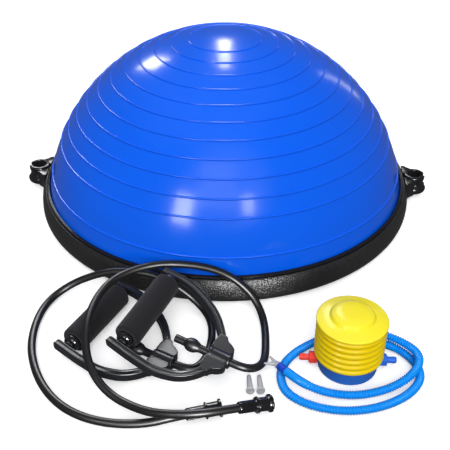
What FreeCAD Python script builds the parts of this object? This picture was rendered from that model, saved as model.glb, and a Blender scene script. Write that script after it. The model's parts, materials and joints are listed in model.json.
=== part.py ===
"""Balance dome trainer with two handled resistance bands, a foot pump, its hose and two spare plugs.

Millimetres. The origin is on the floor, at the centre of the platform's underside. +Z is up, +X runs
through the right-hand anchor ear, and -Y is the side on which the bands and the pump are laid out.
"""
import FreeCAD, Part
import math
import os
import re
import Sketcher

Vec = FreeCAD.Vector
Rot = FreeCAD.Rotation

SIZES = {
    # platform, a shallow dish whose rim holds the dome
    "rim_radius": 300, "rim_top_radius": 296, "rim_top": 37, "rim_bottom": 2, "floor_thick": 5,
    "rim_lip_inner": 291.6, "ledge_inner": 270, "ledge_height": 26.5, "rim_chamfer": 5,
    "rib_inner": 62, "rib_thick": 4, "rib_height": 15, "rib_count": 12,
    "pad_radius": 14, "pad_circle": 262, "pad_count": 6,
    "screw_circle": 281, "screw_radius": 2, "screw_head": 4.5, "screw_count": 12,
    # dome, a spherical cap of vinyl with raised rings and a bead along its foot
    "dome_radius": 291, "dome_drop": 21, "dome_wall": 2.2, "dome_foot": 31,
    "bead_radius": 3, "bead_circle": 286, "ridge_radius": 1.6, "ridge_sink": 0.7,
    "first_ridge": 10.93, "ridge_step": 5.17, "ridge_count": 11, "foot_ridge": 73.1,
    "clamp_inner": 286.1, "clamp_outer": 291.3, "clamp_bottom": 34.4, "clamp_top": 40.5,
    "floor_skin": 2, "floor_skin_radius": 282.4,
    # valve in the dome's floor and its plug
    "valve_out": 60, "valve_hole": 17, "valve_neck": 8, "valve_flange": 15, "valve_length": 18,
    "plug_head": 5.2, "plug_head_thick": 2.6, "plug_root": 3.6, "plug_tip": 2.2, "plug_length": 29,
    "plug_gap": 0.1,
    # anchor ears for the bands' connectors
    "ear_centre": 312, "ear_ring": 17, "ear_hole": 11.5, "ear_top": 40, "ear_ring_height": 17,
    "ear_foot": 8, "ear_lip": 21, "ear_lip_height": 14, "ear_width": 46, "ear_slot": 11,
    # bands: handle and tube
    "tube_radius": 5, "grip_radius": 17, "grip_half": 51, "core_radius": 11, "core_half": 59.5,
    "pin_radius": 4, "pin_gap": 0.1, "pin_deep": 14, "arm_centre": 66, "arm_wide": 9, "arm_tall": 12,
    "sleeve_offset": 22, "sleeve_start": 98, "sleeve_length": 29, "sleeve_radius": 9, "bore_gap": 0.2,
    "web_long": 20, "web_reach": 19, "web_thick": 7,
    "ball_radius": 8.5, "ball_at": 76, "stopper_tail": 52, "neck_radius": 4.4, "exit_run": 12.5,
    "con_sleeve": 7, "con_sleeve_length": 23, "con_collar": 9.75, "con_barrel": 8.2,
    "con_barrel_length": 17, "con_flange": 10.5, "con_flange_thick": 3, "con_nose": 6,
    # foot pump
    "pump_x": 172.5, "pump_y": -403.5, "pump_base_radius": 36.5, "pump_base_height": 20,
    "pump_wall": 3, "bellows_low": 20, "bellows_high": 71, "bellows_outer": 42.5, "bellows_inner": 39,
    "bellows_skin": 2, "bellows_folds": 6, "cap_radius": 43, "cap_height": 8, "button_radius": 27,
    "button_height": 7, "barb_height": 10, "barb_reach": 23, "nut_radius": 7.8, "nut_length": 11,
    "stub_radius": 4, "stub_bore": 2.4, "flap_radius": 4, "flap_thick": 0.8,
    # hose
    "hose_radius": 5.4, "cuff_radius": 4.8, "cuff_length": 13, "cuff_bore": 3.2, "nozzle_spigot": 3.1,
    "nozzle_spigot_length": 8, "nozzle_root": 4.6, "prong_length": 14, "prong_root": 3,
    "straight_lean": -12, "side_lean": 42,
    # small parts
    "tiny_gap": 0.3,
}

LEFT_HANDLE = {"place": (-148.1, -351.8, 17.4), "turn": (-23.7, 4.0, 0.0)}
RIGHT_HANDLE = {"place": (-78.0, -366.5, 46.0), "turn": (-22.8, 7.5, 6.2)}

# Hand-laid routes of the three flexible pieces, from the exit to the far end.
RIGHT_TUBE = [
    (53, -438, 20.5), (62.5, -430.5, 16), (68.5, -418, 11.5), (71, -402, 7.8),
    (71.5, -382, 6), (71, -359, 5.6), (69, -338, 6.5), (63.5, -320, 12.5), (54.5, -309.5, 23),
    (41, -303.5, 36.5), (23.5, -298.5, 48.5),
    (3, -293, 55), (-20, -289.5, 58), (-46, -288.5, 59.5), (-71, -291.5, 60.5), (-94, -299.5, 60.5),
    (-114.5, -311.5, 59.5), (-131, -327, 57.5), (-141.5, -348, 55), (-147.5, -374.5, 52.5),
    (-148.5, -401.5, 49), (-146, -425, 42), (-140.5, -445, 35), (-131, -461.5, 28),
    (-118, -475.5, 20), (-101, -487, 14.5), (-81, -497.5, 14), (-60, -509, 18.5), (-38, -516, 24),
    (-16.5, -518.5, 28), (4, -516, 28.5), (24.2, -508.2, 25.1), (40.9, -500.2, 21),
]
LEFT_TUBE = [
    (-15, -427.5, 6), (-4.5, -414, 5.5), (1, -393, 5.5), (3, -367, 5.5),
    (0, -342, 5.5), (-8.5, -323, 7), (-21, -312, 14), (-36.5, -307, 26), (-55, -302, 37.5),
    (-75.5, -297, 44.5), (-98, -292.5, 46.5), (-122, -289, 45), (-145.5, -286.5, 40),
    (-168, -286, 31.5), (-188.5, -287, 22), (-206.5, -293, 13), (-221, -307, 7.5), (-229, -331, 5.5),
    (-230, -364.5, 5.5), (-224.5, -400.5, 5.5), (-211.5, -434, 5.5), (-195, -462, 5.5),
    (-176, -484, 5.5), (-155, -500, 5.5), (-131.5, -510.5, 5.5), (-106, -516, 5.5),
    (-80, -516.5, 5.5), (-56, -514, 7), (-35.8, -509.5, 10.6), (-18.6, -504.2, 10.8),
]
HOSE = [
    (96, -441, 21.5), (107.5, -452.5, 21.5), (121, -458.6, 17.5), (138.9, -460.4, 10.5),
    (157.7, -459.8, 5.9), (177.5, -460, 5.6), (197.8, -455.5, 5.6), (217.2, -448.7, 7),
    (234.2, -440.9, 11), (247.3, -431.6, 16), (256.5, -417.8, 18.5), (258.7, -401.7, 18.5),
    (250.5, -388, 18.5), (236.5, -376, 18), (219.5, -367, 17.8), (200, -361.5, 17.5),
    (181, -357.5, 14.5), (163, -358, 9), (147, -363.5, 6), (129, -375, 5.6), (111.5, -389, 5.6),
    (97.5, -406.5, 5.6), (90, -424.8, 5.6), (90.2, -441.5, 5.6), (95, -457.2, 5.6),
    (107.1, -469.1, 5.6), (123, -477.4, 5.6), (141.2, -482.5, 5.6), (160.5, -484.5, 5.6),
    (180, -482.8, 5.6), (200, -477.9, 5.6), (219.4, -469.3, 5.6), (237.2, -457.6, 5.6),
    (251.1, -442.7, 5.6), (259.1, -426.1, 5.6), (258.2, -408.4, 5.6), (250, -392.4, 5.6),
    (237.5, -379, 5.6), (221, -370, 5.6), (203, -365.5, 5.6),
]


doc = FreeCAD.newDocument("balance_dome_trainer")
sheet = doc.addObject("Spreadsheet::Sheet", "Sizes")
for row, (word, number) in enumerate(SIZES.items(), start=1):
    sheet.set(f"A{row}", word)
    sheet.set(f"B{row}", str(number))
    sheet.setAlias(f"B{row}", word)
doc.recompute()

pieces = []


def bound(text):
    """The expression with every size word pointed at its spreadsheet cell."""
    return re.sub(r"[a-z_]+", lambda m: f"Sizes.{m.group()}" if m.group() in SIZES else m.group(), str(text))


def value(text):
    """The number that an expression of size words has now."""
    return float(sheet.evalExpression(bound(text)))


def keep(piece, label, placement=None):
    """Names a finished sub-part, sets it in place and puts it on the list to export."""
    piece.Label = label
    if placement is not None:
        piece.Placement = placement
    pieces.append(piece)
    return piece


def bind(piece, **sizes):
    """Binds properties of a document object to expressions of size words."""
    for name, text in sizes.items():
        piece.setExpression(name.replace("__", "."), bound(text))
    return piece


# ---- sketches and bodies ----------------------------------------------------------------------

def plane_of(body, role):
    return next(f for f in body.Origin.OriginFeatures if f.Role == role)


def blank_sketch(body, name, role):
    sketch = body.newObject("Sketcher::SketchObject", name)
    sketch.AttachmentSupport = [(plane_of(body, role), "")]
    sketch.MapMode = "FlatFace"
    return sketch


def pin_point(sketch, edge, end, across, up):
    """Fixes one end of a sketch edge at two expressions, measured from the sketch's origin."""
    for kind, axis, text in (("DistanceX", -2, across), ("DistanceY", -1, up)):
        number = value(text)
        if abs(number) < 1e-9:
            sketch.addConstraint(Sketcher.Constraint("PointOnObject", edge, end, axis))
        elif number > 0:
            spot = sketch.addConstraint(Sketcher.Constraint(kind, -1, 1, edge, end, number))
            sketch.setExpression(f"Constraints[{spot}]", bound(text))
        else:
            spot = sketch.addConstraint(Sketcher.Constraint(kind, edge, end, -1, 1, -number))
            sketch.setExpression(f"Constraints[{spot}]", bound(f"-({text})"))


def outline(body, name, role, corners):
    """A closed sketch of straight edges whose corners are pinned at expressions."""
    sketch = blank_sketch(body, name, role)
    spots = [Vec(value(x), value(y), 0) for x, y in corners]
    last = len(spots)
    for i in range(last):
        sketch.addGeometry(Part.LineSegment(spots[i], spots[(i + 1) % last]))
    for i in range(last):
        sketch.addConstraint(Sketcher.Constraint("Coincident", i, 2, (i + 1) % last, 1))
    for i, (x, y) in enumerate(corners):
        pin_point(sketch, i, 1, x, y)
    return sketch


def turned_feature(body, sketch, kind="PartDesign::Revolution"):
    feature = body.newObject(kind, sketch.Name + "Turn")
    feature.Profile = sketch
    feature.ReferenceAxis = (sketch, ["V_Axis"])
    feature.Angle = 360
    return feature


def turned(label, corners, placement=None, role="XZ_Plane"):
    """A body of revolution about the sketch's upright axis."""
    body = doc.addObject("PartDesign::Body", label)
    turned_feature(body, outline(body, label + "_outline", role, corners))
    return keep(body, label, placement)


def ring_pattern(body, feature, count):
    """Repeats a feature round the body's own Z axis."""
    pattern = body.newObject("PartDesign::PolarPattern", feature.Name + "Ring")
    pattern.Originals = [feature]
    pattern.Axis = (plane_of(body, "Z_Axis"), [""])
    pattern.Angle = 360
    bind(pattern, Occurrences=count)
    body.Tip = pattern
    return pattern


# ---- primitives and booleans ------------------------------------------------------------------

def cylinder(name, radius, tall, at=(0, 0, 0), turn=Rot()):
    piece = doc.addObject("Part::Cylinder", name)
    bind(piece, Radius=radius, Height=tall)
    piece.Placement = FreeCAD.Placement(Vec(*[value(a) for a in at]), turn)
    return piece


def box(name, long, wide, tall, at):
    """A block whose lower corner is at three expressions."""
    piece = doc.addObject("Part::Box", name)
    bind(piece, Length=long, Width=wide, Height=tall)
    piece.Placement = FreeCAD.Placement(Vec(*[value(a) for a in at]), Rot())
    return piece


def cone(name, low_radius, high_radius, tall, at=(0, 0, 0), turn=Rot()):
    piece = doc.addObject("Part::Cone", name)
    bind(piece, Radius1=low_radius, Radius2=high_radius, Height=tall)
    piece.Placement = FreeCAD.Placement(Vec(*[value(a) for a in at]), turn)
    return piece


def fused(name, members):
    piece = doc.addObject("Part::MultiFuse", name)
    piece.Shapes = members
    return piece


def cut(name, base, tool):
    piece = doc.addObject("Part::Cut", name)
    piece.Base = base
    piece.Tool = tool
    return piece


def group_of(label, members, placement=None):
    """Several equal loose solids that share one node."""
    piece = doc.addObject("Part::Compound", label)
    piece.Links = members
    return keep(piece, label, placement)


# ---- routes -----------------------------------------------------------------------------------

def rounded_wire(points, name):
    """Straight runs joined by tangent arcs, each as large as its two runs allow."""
    spots = [Vec(*p) for p in points]
    edges = []
    radii = []
    start = spots[0]
    for before, corner, after in zip(spots, spots[1:], spots[2:]):
        back = before - corner
        ahead = after - corner
        reach = 0.45 * min(back.Length, ahead.Length)
        half_turn = (math.pi - back.getAngle(ahead)) / 2
        radius = reach / math.tan(half_turn)
        radii.append(radius)
        enter = corner + back.normalize() * reach
        leave = corner + ahead.normalize() * reach
        inward = (back + ahead).normalize()
        middle = corner + inward * (radius / math.cos(half_turn) - radius)
        edges.append(Part.LineSegment(start, enter).toShape())
        edges.append(Part.Arc(enter, middle, leave).toShape())
        start = leave
    edges.append(Part.LineSegment(start, spots[-1]).toShape())
    wire = Part.Wire(edges)
    print(f"{name}: length {wire.Length:.0f}, radii {' '.join(f'{r:.0f}' for r in radii)}")
    return wire


def tube(label, points, radius):
    """A solid rod of one radius swept along a rounded route."""
    path = doc.addObject("Part::Feature", label + "_path")
    path.Shape = rounded_wire(points, label)
    ring = doc.addObject("Part::Circle", label + "_section")
    bind(ring, Radius=radius)
    heading = Vec(*points[1]) - Vec(*points[0])
    ring.Placement = FreeCAD.Placement(Vec(*points[0]), Rot(Vec(0, 0, 1), heading))
    sweep = doc.addObject("Part::Sweep", label)
    sweep.Sections = [ring]
    sweep.Spine = (path, [])
    sweep.Solid = True
    doc.recompute()
    expected = math.pi * value(radius) ** 2 * path.Shape.Length
    print(f"{label}: volume over section times length {sweep.Shape.Volume / expected:.4f}")
    return keep(sweep, label)


# ---- dome and platform ------------------------------------------------------------------------

def make_platform():
    body = doc.addObject("PartDesign::Body", "base_platform")
    section = outline(body, "platform_section", "XZ_Plane", [
        ("0", "rim_bottom"), ("rim_radius - rim_chamfer", "rim_bottom"),
        ("rim_radius", "rim_bottom + rim_chamfer"), ("rim_radius - 0.8", "rim_top * 0.5"),
        ("rim_top_radius", "rim_top - 2"), ("rim_top_radius - 2", "rim_top"),
        ("rim_lip_inner", "rim_top"), ("rim_lip_inner", "ledge_height"),
        ("ledge_inner", "ledge_height"), ("ledge_inner", "rim_bottom + floor_thick"),
        ("0", "rim_bottom + floor_thick"),
    ])
    turned_feature(body, section)
    rib = outline(body, "rib_side", "XZ_Plane", [
        ("rib_inner", "rim_bottom + 1"), ("ledge_inner + 2", "rim_bottom + 1"),
        ("ledge_inner + 2", "rim_bottom + floor_thick + rib_height"),
        ("rib_inner + 14", "rim_bottom + floor_thick + rib_height"),
    ])
    rib_pad = body.newObject("PartDesign::Pad", "rib")
    rib_pad.Profile = rib
    rib_pad.Midplane = True
    bind(rib_pad, Length="rib_thick")
    doc.recompute()
    ring_pattern(body, rib_pad, "rib_count")
    doc.recompute()
    # round opening in the underside, through which the valve is reached
    opening = blank_sketch(body, "valve_opening", "XY_Plane")
    opening.addGeometry(Part.Circle(Vec(0, value("valve_out"), 0), Vec(0, 0, 1), value("valve_hole")))
    pin_point(opening, 0, 3, "0", "valve_out")
    spot = opening.addConstraint(Sketcher.Constraint("Radius", 0, value("valve_hole")))
    opening.setExpression(f"Constraints[{spot}]", bound("valve_hole"))
    before = body.Shape.Volume
    pocket = body.newObject("PartDesign::Pocket", "valve_opening_cut")
    pocket.Profile = opening
    pocket.Type = "ThroughAll"
    pocket.Midplane = True
    doc.recompute()
    print(f"platform valve opening removes {before - body.Shape.Volume:.0f} mm3")
    return keep(body, "base_platform")


def make_dome():
    """A spherical cap with raised rings: one shell turned from two arcs, then rings turned onto it."""
    body = doc.addObject("PartDesign::Body", "dome_bladder")
    sketch = blank_sketch(body, "dome_section", "XZ_Plane")
    centre = Vec(0, -value("dome_drop"), 0)
    outer = value("dome_radius")
    inner = outer - value("dome_wall")
    foot = value("dome_foot + dome_drop")
    for radius in (outer, inner):
        low = math.asin(foot / radius)
        circle = Part.Circle(centre, Vec(0, 0, 1), radius)
        sketch.addGeometry(Part.ArcOfCircle(circle, low, math.pi / 2))
    tips = [sketch.getPoint(edge, end) for edge in (0, 1) for end in (1, 2)]
    sketch.addGeometry(Part.LineSegment(tips[1], tips[3]))
    sketch.addGeometry(Part.LineSegment(tips[0], tips[2]))
    for edge, end, other, stop in ((0, 2, 2, 1), (1, 2, 2, 2), (0, 1, 3, 1), (1, 1, 3, 2), (0, 3, 1, 3)):
        sketch.addConstraint(Sketcher.Constraint("Coincident", edge, end, other, stop))
    pin_point(sketch, 0, 3, "0", "-dome_drop")
    for edge, size in ((0, "dome_radius"), (1, "dome_radius - dome_wall")):
        spot = sketch.addConstraint(Sketcher.Constraint("Radius", edge, value(size)))
        sketch.setExpression(f"Constraints[{spot}]", bound(size))
        sketch.addConstraint(Sketcher.Constraint("PointOnObject", edge, 2, -2))
        rise = sketch.addConstraint(Sketcher.Constraint("DistanceY", -1, 1, edge, 1, value("dome_foot")))
        sketch.setExpression(f"Constraints[{rise}]", bound("dome_foot"))
    turned_feature(body, sketch)
    rings = blank_sketch(body, "raised_rings", "XZ_Plane")
    angles = [f"(first_ridge + {i} * ridge_step)" for i in range(int(value("ridge_count")))]
    angles.append("foot_ridge")
    for i, angle in enumerate(angles):
        reach = "(dome_radius - ridge_sink)"
        across = f"{reach} * sin({angle} * 1 deg)"
        up = f"{reach} * cos({angle} * 1 deg) - dome_drop"
        rings.addGeometry(Part.Circle(Vec(value(across), value(up), 0), Vec(0, 0, 1), value("ridge_radius")))
        pin_point(rings, i, 3, across, up)
        spot = rings.addConstraint(Sketcher.Constraint("Radius", i, value("ridge_radius")))
        rings.setExpression(f"Constraints[{spot}]", bound("ridge_radius"))
    turned_feature(body, rings)
    bead = blank_sketch(body, "foot_bead", "XZ_Plane")
    bead.addGeometry(Part.Circle(Vec(value("bead_circle"), value("dome_foot"), 0), Vec(0, 0, 1), 3))
    pin_point(bead, 0, 3, "bead_circle", "dome_foot")
    spot = bead.addConstraint(Sketcher.Constraint("Radius", 0, value("bead_radius")))
    bead.setExpression(f"Constraints[{spot}]", bound("bead_radius"))
    turned_feature(body, bead)
    return keep(body, "dome_bladder")


def make_clamp_ring():
    turned("dome_clamp_ring", [
        ("clamp_inner", "clamp_bottom"), ("clamp_outer", "clamp_bottom"),
        ("clamp_outer", "clamp_top - 1.6"), ("clamp_outer - 1.6", "clamp_top"),
        ("clamp_inner + 1.4", "clamp_top"), ("clamp_inner", "clamp_top - 1.4"),
    ])


def make_bladder_floor():
    disc = cylinder("floor_disc", "floor_skin_radius", "floor_skin", ("0", "0", "ledge_height"))
    hole = cylinder("floor_hole", "valve_neck", "floor_skin + 2", ("0", "valve_out", "ledge_height - 1"))
    keep(cut("bladder_floor", disc, hole), "bladder_floor")


def plug_outline(reach):
    """Half section of a plug: a round head, then a shank that tapers to a blunt tip."""
    return [
        ("0", "0"), ("plug_head - 0.8", "0"), ("plug_head", "0.8"), ("plug_head", "plug_head_thick"),
        ("plug_root", "plug_head_thick + 1"), ("plug_tip", f"{reach} - 1.2"), ("plug_tip - 1", reach),
        ("0", reach),
    ]


def make_valve():
    at_valve = FreeCAD.Placement(Vec(0, value("valve_out"), value("ledge_height")), Rot())
    shank = "(plug_head_thick + 1)"
    slope = f"((plug_root - plug_tip) / (plug_length - 1.2 - {shank}))"
    mouth = "plug_root + plug_gap"
    throat = f"plug_root + plug_gap - {slope} * valve_length"
    turned("valve_seat", [
        (mouth, "-valve_length"), ("valve_neck - 0.5", "-valve_length"),
        ("valve_neck - 0.5", "floor_skin"), ("valve_flange", "floor_skin"),
        ("valve_flange", "floor_skin + 1.6"), (throat, "floor_skin + 1.6"), (throat, "0"),
    ], at_valve)
    head_low = value("ledge_height - valve_length - plug_head_thick - 1")
    turned("valve_plug", plug_outline("plug_length"),
           FreeCAD.Placement(Vec(0, value("valve_out"), head_low), Rot()))


def make_small_hardware():
    pads = [cylinder("pad_middle", "pad_radius", "rim_bottom")]
    screws = []
    for i in range(int(value("pad_count"))):
        around = math.radians(30 + i * 360 / value("pad_count"))
        at = (f"pad_circle * {math.cos(around):.9f}", f"pad_circle * {math.sin(around):.9f}", "0")
        pads.append(cylinder(f"pad_{i}", "pad_radius", "rim_bottom", at))
    for i in range(int(value("screw_count"))):
        around = math.radians(15 + i * 360 / value("screw_count"))
        cosine, sine = f"{math.cos(around):.9f}", f"{math.sin(around):.9f}"
        shank_at = (f"screw_circle * {cosine}", f"screw_circle * {sine}", "rim_bottom + 3")
        head_at = (f"screw_circle * {cosine}", f"screw_circle * {sine}", "rim_bottom + 0.4")
        shank = cylinder(f"shank_{i}", "screw_radius", "ledge_height - rim_bottom - 6", shank_at)
        head = cylinder(f"head_{i}", "screw_head", "2.7", head_at)
        screws.append(fused(f"screw_{i}", [shank, head]))
    return pads, screws


def make_ear(label, side, platform):
    """A lug with an upright, slotted socket, seated on the sloping rim of the platform."""
    centre = f"{side} * ear_centre"
    ring = cylinder(label + "_ring", "ear_ring", "ear_ring_height",
                    (centre, "0", "ear_top - ear_ring_height"))
    waist = cone(label + "_waist", "ear_lip", "ear_ring - 1", "ear_top - ear_ring_height - ear_foot",
                 (centre, "0", "ear_foot"))
    half = "(ear_width / 2)"
    left = "-ear_centre" if side < 0 else "ear_centre - 21"
    cheek = box(label + "_cheek", "21", "ear_width", "ear_lip_height + 8", (left, f"-{half}", "ear_foot"))
    neck = box(label + "_neck", "21", "2 * ear_ring", "ear_top - ear_foot - 2",
               (left, "-ear_ring", "ear_foot"))
    solid = fused(label + "_solid", [ring, waist, cheek, neck])
    hole = cylinder(label + "_hole", "ear_hole", "ear_top", (centre, "0", "ear_foot - 2"))
    slot_left = "-ear_centre - 30" if side < 0 else "ear_centre"
    slot = box(label + "_slot", "30", "ear_slot", "ear_top", (slot_left, "-ear_slot / 2", "ear_foot - 2"))
    inside = cylinder(label + "_inside", "rim_top_radius - 1.5", "ear_top + 10", ("0", "0", "-5"))
    tools = fused(label + "_tools", [hole, slot, inside])
    keep(cut(label, cut(label + "_lug", solid, platform), tools), label)


# ---- bands ------------------------------------------------------------------------------------

def handle_placement(handle):
    return FreeCAD.Placement(Vec(*handle["place"]), Rot(*handle["turn"]))


def sweep_bow(name):
    """The bow's strap: one rounded loop from arm to arm, leaning a little to the lower arm."""
    arm = value("arm_centre")
    stretch = [
        (-13, -arm), (20, -arm - 7), (55, -arm - 12), (85, -arm - 4), (105, -50), (113, -22), (104, 4),
        (82, 32), (50, 53), (20, arm - 1.5), (-13, arm),
    ]
    path = doc.addObject("Part::Feature", name + "_path")
    path.Shape = rounded_wire([(x, y, 0) for x, y in stretch], name)
    side = value("arm_wide") / 2
    rise = value("arm_tall") / 2
    bend = 1.5
    start = Vec(*stretch[0], 0)
    heading = (Vec(*stretch[1], 0) - start).normalize()
    across = heading.cross(Vec(0, 0, 1))
    ring = [(side, rise - bend), (side - bend, rise), (bend - side, rise), (-side, rise - bend),
            (-side, bend - rise), (bend - side, -rise), (side - bend, -rise), (side, bend - rise)]
    corners = [start + across * a + Vec(0, 0, b) for a, b in ring]
    section = doc.addObject("Part::Feature", name + "_section")
    section.Shape = Part.makePolygon(corners + corners[:1])
    sweep = doc.addObject("Part::Sweep", name)
    sweep.Sections = [section]
    sweep.Spine = (path, [])
    sweep.Solid = True
    return sweep


def make_handle(side, handle):
    place = handle_placement(handle)
    along = Rot(Vec(0, 1, 0), 90)
    strap = sweep_bow(side + "_strap")
    sleeve = cylinder(side + "_sleeve", "sleeve_radius", "sleeve_length",
                      ("sleeve_start", "-sleeve_offset", "0"), along)
    web = box(side + "_web", "web_long", "2 * web_reach", "web_thick",
              ("sleeve_start + 3", "-sleeve_offset - web_reach", "-web_thick / 2"))
    low_pin = cylinder(side + "_low_pin", "pin_radius", "pin_deep + arm_wide / 2 + 2",
                       ("0", "-arm_centre - 2", "0"), Rot(Vec(1, 0, 0), -90))
    high_pin = cylinder(side + "_high_pin", "pin_radius", "pin_deep + arm_wide / 2 + 2",
                        ("0", "arm_centre + 2", "0"), Rot(Vec(1, 0, 0), 90))
    bow = fused(side + "_bow_solid", [strap, sleeve, web, low_pin, high_pin])
    bore = cylinder(side + "_bore", "tube_radius + bore_gap", "sleeve_length + 12",
                    ("sleeve_start - 6", "-sleeve_offset", "0"), along)
    keep(cut(side + "_bow", bow, bore), side + "_handle_bow", place)

    turned(side + "_grip_core", [
        ("pin_radius + pin_gap", "-core_half"), ("core_radius - 2", "-core_half"),
        ("core_radius", "2 - core_half"), ("core_radius", "core_half - 2"),
        ("core_radius - 2", "core_half"), ("pin_radius + pin_gap", "core_half"),
    ], place, "XY_Plane")
    turned(side + "_foam_grip", [
        ("core_radius", "-grip_half"), ("grip_radius - 1.5", "-grip_half"),
        ("grip_radius", "1.5 - grip_half"), ("grip_radius", "grip_half - 1.5"),
        ("grip_radius - 1.5", "grip_half"), ("core_radius", "grip_half"),
    ], place, "XY_Plane")

    # stopper: the tube's cut tail, the ball that swells it, and the neck that runs into the sleeve
    tail = cylinder(side + "_tail", "tube_radius", "ball_at - stopper_tail - 3",
                    ("stopper_tail", "-sleeve_offset", "0"), along)
    ball = doc.addObject("Part::Sphere", side + "_ball")
    bind(ball, Radius="ball_radius")
    ball.Placement = FreeCAD.Placement(Vec(value("ball_at"), -value("sleeve_offset"), 0), along)
    neck = cylinder(side + "_neck", "neck_radius", "sleeve_start + sleeve_length - ball_at",
                    ("ball_at", "-sleeve_offset", "0"), along)
    keep(fused(side + "_stopper_solid", [tail, ball, neck]), side + "_stopper", place)


def make_connector(side, before, start):
    """Two screwed pieces at the tube's far end: a ribbed sleeve, then a flanged barrel."""
    place = FreeCAD.Placement(Vec(*start), Rot(Vec(0, 0, 1), Vec(*start) - Vec(*before)))
    turned(side + "_connector_sleeve", [
        ("0", "0"), ("con_sleeve - 1", "0"), ("con_sleeve", "1"), ("con_sleeve", "con_sleeve_length"),
        ("con_collar", "con_sleeve_length"), ("con_collar", "con_sleeve_length + 2"),
        ("0", "con_sleeve_length + 2"),
    ], place)
    base = "con_sleeve_length + 2"
    end = f"{base} + con_barrel_length"
    turned(side + "_connector_barrel", [
        ("0", base), ("con_barrel", base), ("con_barrel", f"{end} - con_flange_thick"),
        ("con_flange", f"{end} - con_flange_thick"), ("con_flange", f"{end} - 0.6"),
        ("con_flange - 0.6", end), ("con_nose", end), ("con_nose", f"{end} - 2"), ("0", f"{end} - 2"),
    ], place)


def out_of_sleeve(handle, route):
    """The route with its first two points put in: the sleeve's mouth and the end of the straight exit."""
    exits = []
    for reach in (0, value("exit_run")):
        local = Vec(value("sleeve_start + sleeve_length") + reach, -value("sleeve_offset"), 0)
        exits.append(tuple(handle_placement(handle).multVec(local)))
    return exits + route


# ---- pump -------------------------------------------------------------------------------------

def make_pump():
    at_pump = FreeCAD.Placement(Vec(value("pump_x"), value("pump_y"), 0), Rot())
    tub = cylinder("pump_base_tub", "pump_base_radius", "pump_base_height - 3", ("0", "0", "3"))
    seat = cylinder("pump_base_seat", "bellows_inner + 0.5", "2", ("0", "0", "pump_base_height - 2"))
    base = fused("pump_base_skin", [tub, seat])
    room = cylinder("pump_base_room", "pump_base_radius - pump_wall", "pump_base_height", ("0", "0", "3"))
    ports = cylinder("pump_ports", "stub_radius", "2 * pump_base_radius + 20",
                     ("-pump_base_radius - 10", "0", "barb_height"), Rot(Vec(0, 1, 0), 90))
    hollow = fused("pump_base_hollow", [room, ports])
    keep(cut("pump_base_cut", base, hollow), "pump_base", at_pump)
    turned("pump_base_plate", [
        ("0", "0"), ("pump_base_radius - 1", "0"), ("pump_base_radius", "1"), ("pump_base_radius", "3"),
        ("0", "3"),
    ], at_pump)

    folds = int(value("bellows_folds"))
    pitch = "((bellows_high - bellows_low) / bellows_folds)"
    outside = []
    inside = []
    for i in range(folds):
        low = f"bellows_low + {i} * {pitch}"
        outside += [("bellows_inner", low), ("bellows_outer - 0.8", f"{low} + 0.3 * {pitch}"),
                    ("bellows_outer", f"{low} + 0.5 * {pitch}"),
                    ("bellows_outer - 0.8", f"{low} + 0.7 * {pitch}")]
        inside += [("bellows_inner - bellows_skin", low),
                   ("bellows_outer - bellows_skin", f"{low} + 0.5 * {pitch}")]
    outside.append(("bellows_inner", "bellows_high"))
    inside.append(("bellows_inner - bellows_skin", "bellows_high"))
    turned("pump_bellows", outside + inside[::-1], at_pump)

    turned("pump_top_cap", [
        ("0", "bellows_high + tiny_gap"), ("cap_radius - 2", "bellows_high + tiny_gap"),
        ("cap_radius", "bellows_high + 2"), ("cap_radius", "bellows_high + cap_height - 3"),
        ("cap_radius - 4", "bellows_high + cap_height - 1"), ("button_radius", "bellows_high + cap_height"),
        ("button_radius", "bellows_high + cap_height + button_height - 4"),
        ("button_radius - 5", "bellows_high + cap_height + button_height - 1"),
        ("button_radius - 12", "bellows_high + cap_height + button_height"),
        ("0", "bellows_high + cap_height + button_height"),
    ], at_pump)

    for label, side in (("pump_inlet_barb", -1), ("pump_outlet_barb", 1)):
        outward = Rot(Vec(0, 0, 1), Vec(side, 0, 0))
        foot = Vec(value("pump_x") + side * value("pump_base_radius"), value("pump_y"), value("barb_height"))
        turned(label, [
            ("stub_bore", "-2.5"), ("stub_radius - 0.05", "-2.5"), ("stub_radius - 0.05", "0.1"),
            ("nut_radius - 1.5", "0.4"), ("nut_radius - 1.5", "1.5"), ("nut_radius", "2.5"),
            ("nut_radius", "nut_length - 1"), ("nut_radius - 1", "nut_length"),
            ("stub_radius", "nut_length"), ("stub_radius", "barb_reach - 1"),
            ("stub_radius - 0.8", "barb_reach"), ("stub_bore", "barb_reach"),
        ], FreeCAD.Placement(foot, outward))
    # the inlet's flap hangs just inside the wall, over the port
    flap_at = at_pump.Base + Vec(value("pump_wall + 1.4 - pump_base_radius"), 0, value("barb_height"))
    flap = cylinder("pump_inlet_flap", "flap_radius", "flap_thick")
    keep(flap, "pump_inlet_flap", FreeCAD.Placement(flap_at, Rot(Vec(0, 0, 1), Vec(-1, 0, 0))))


# ---- hose, nozzle and spare plugs --------------------------------------------------------------

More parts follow.
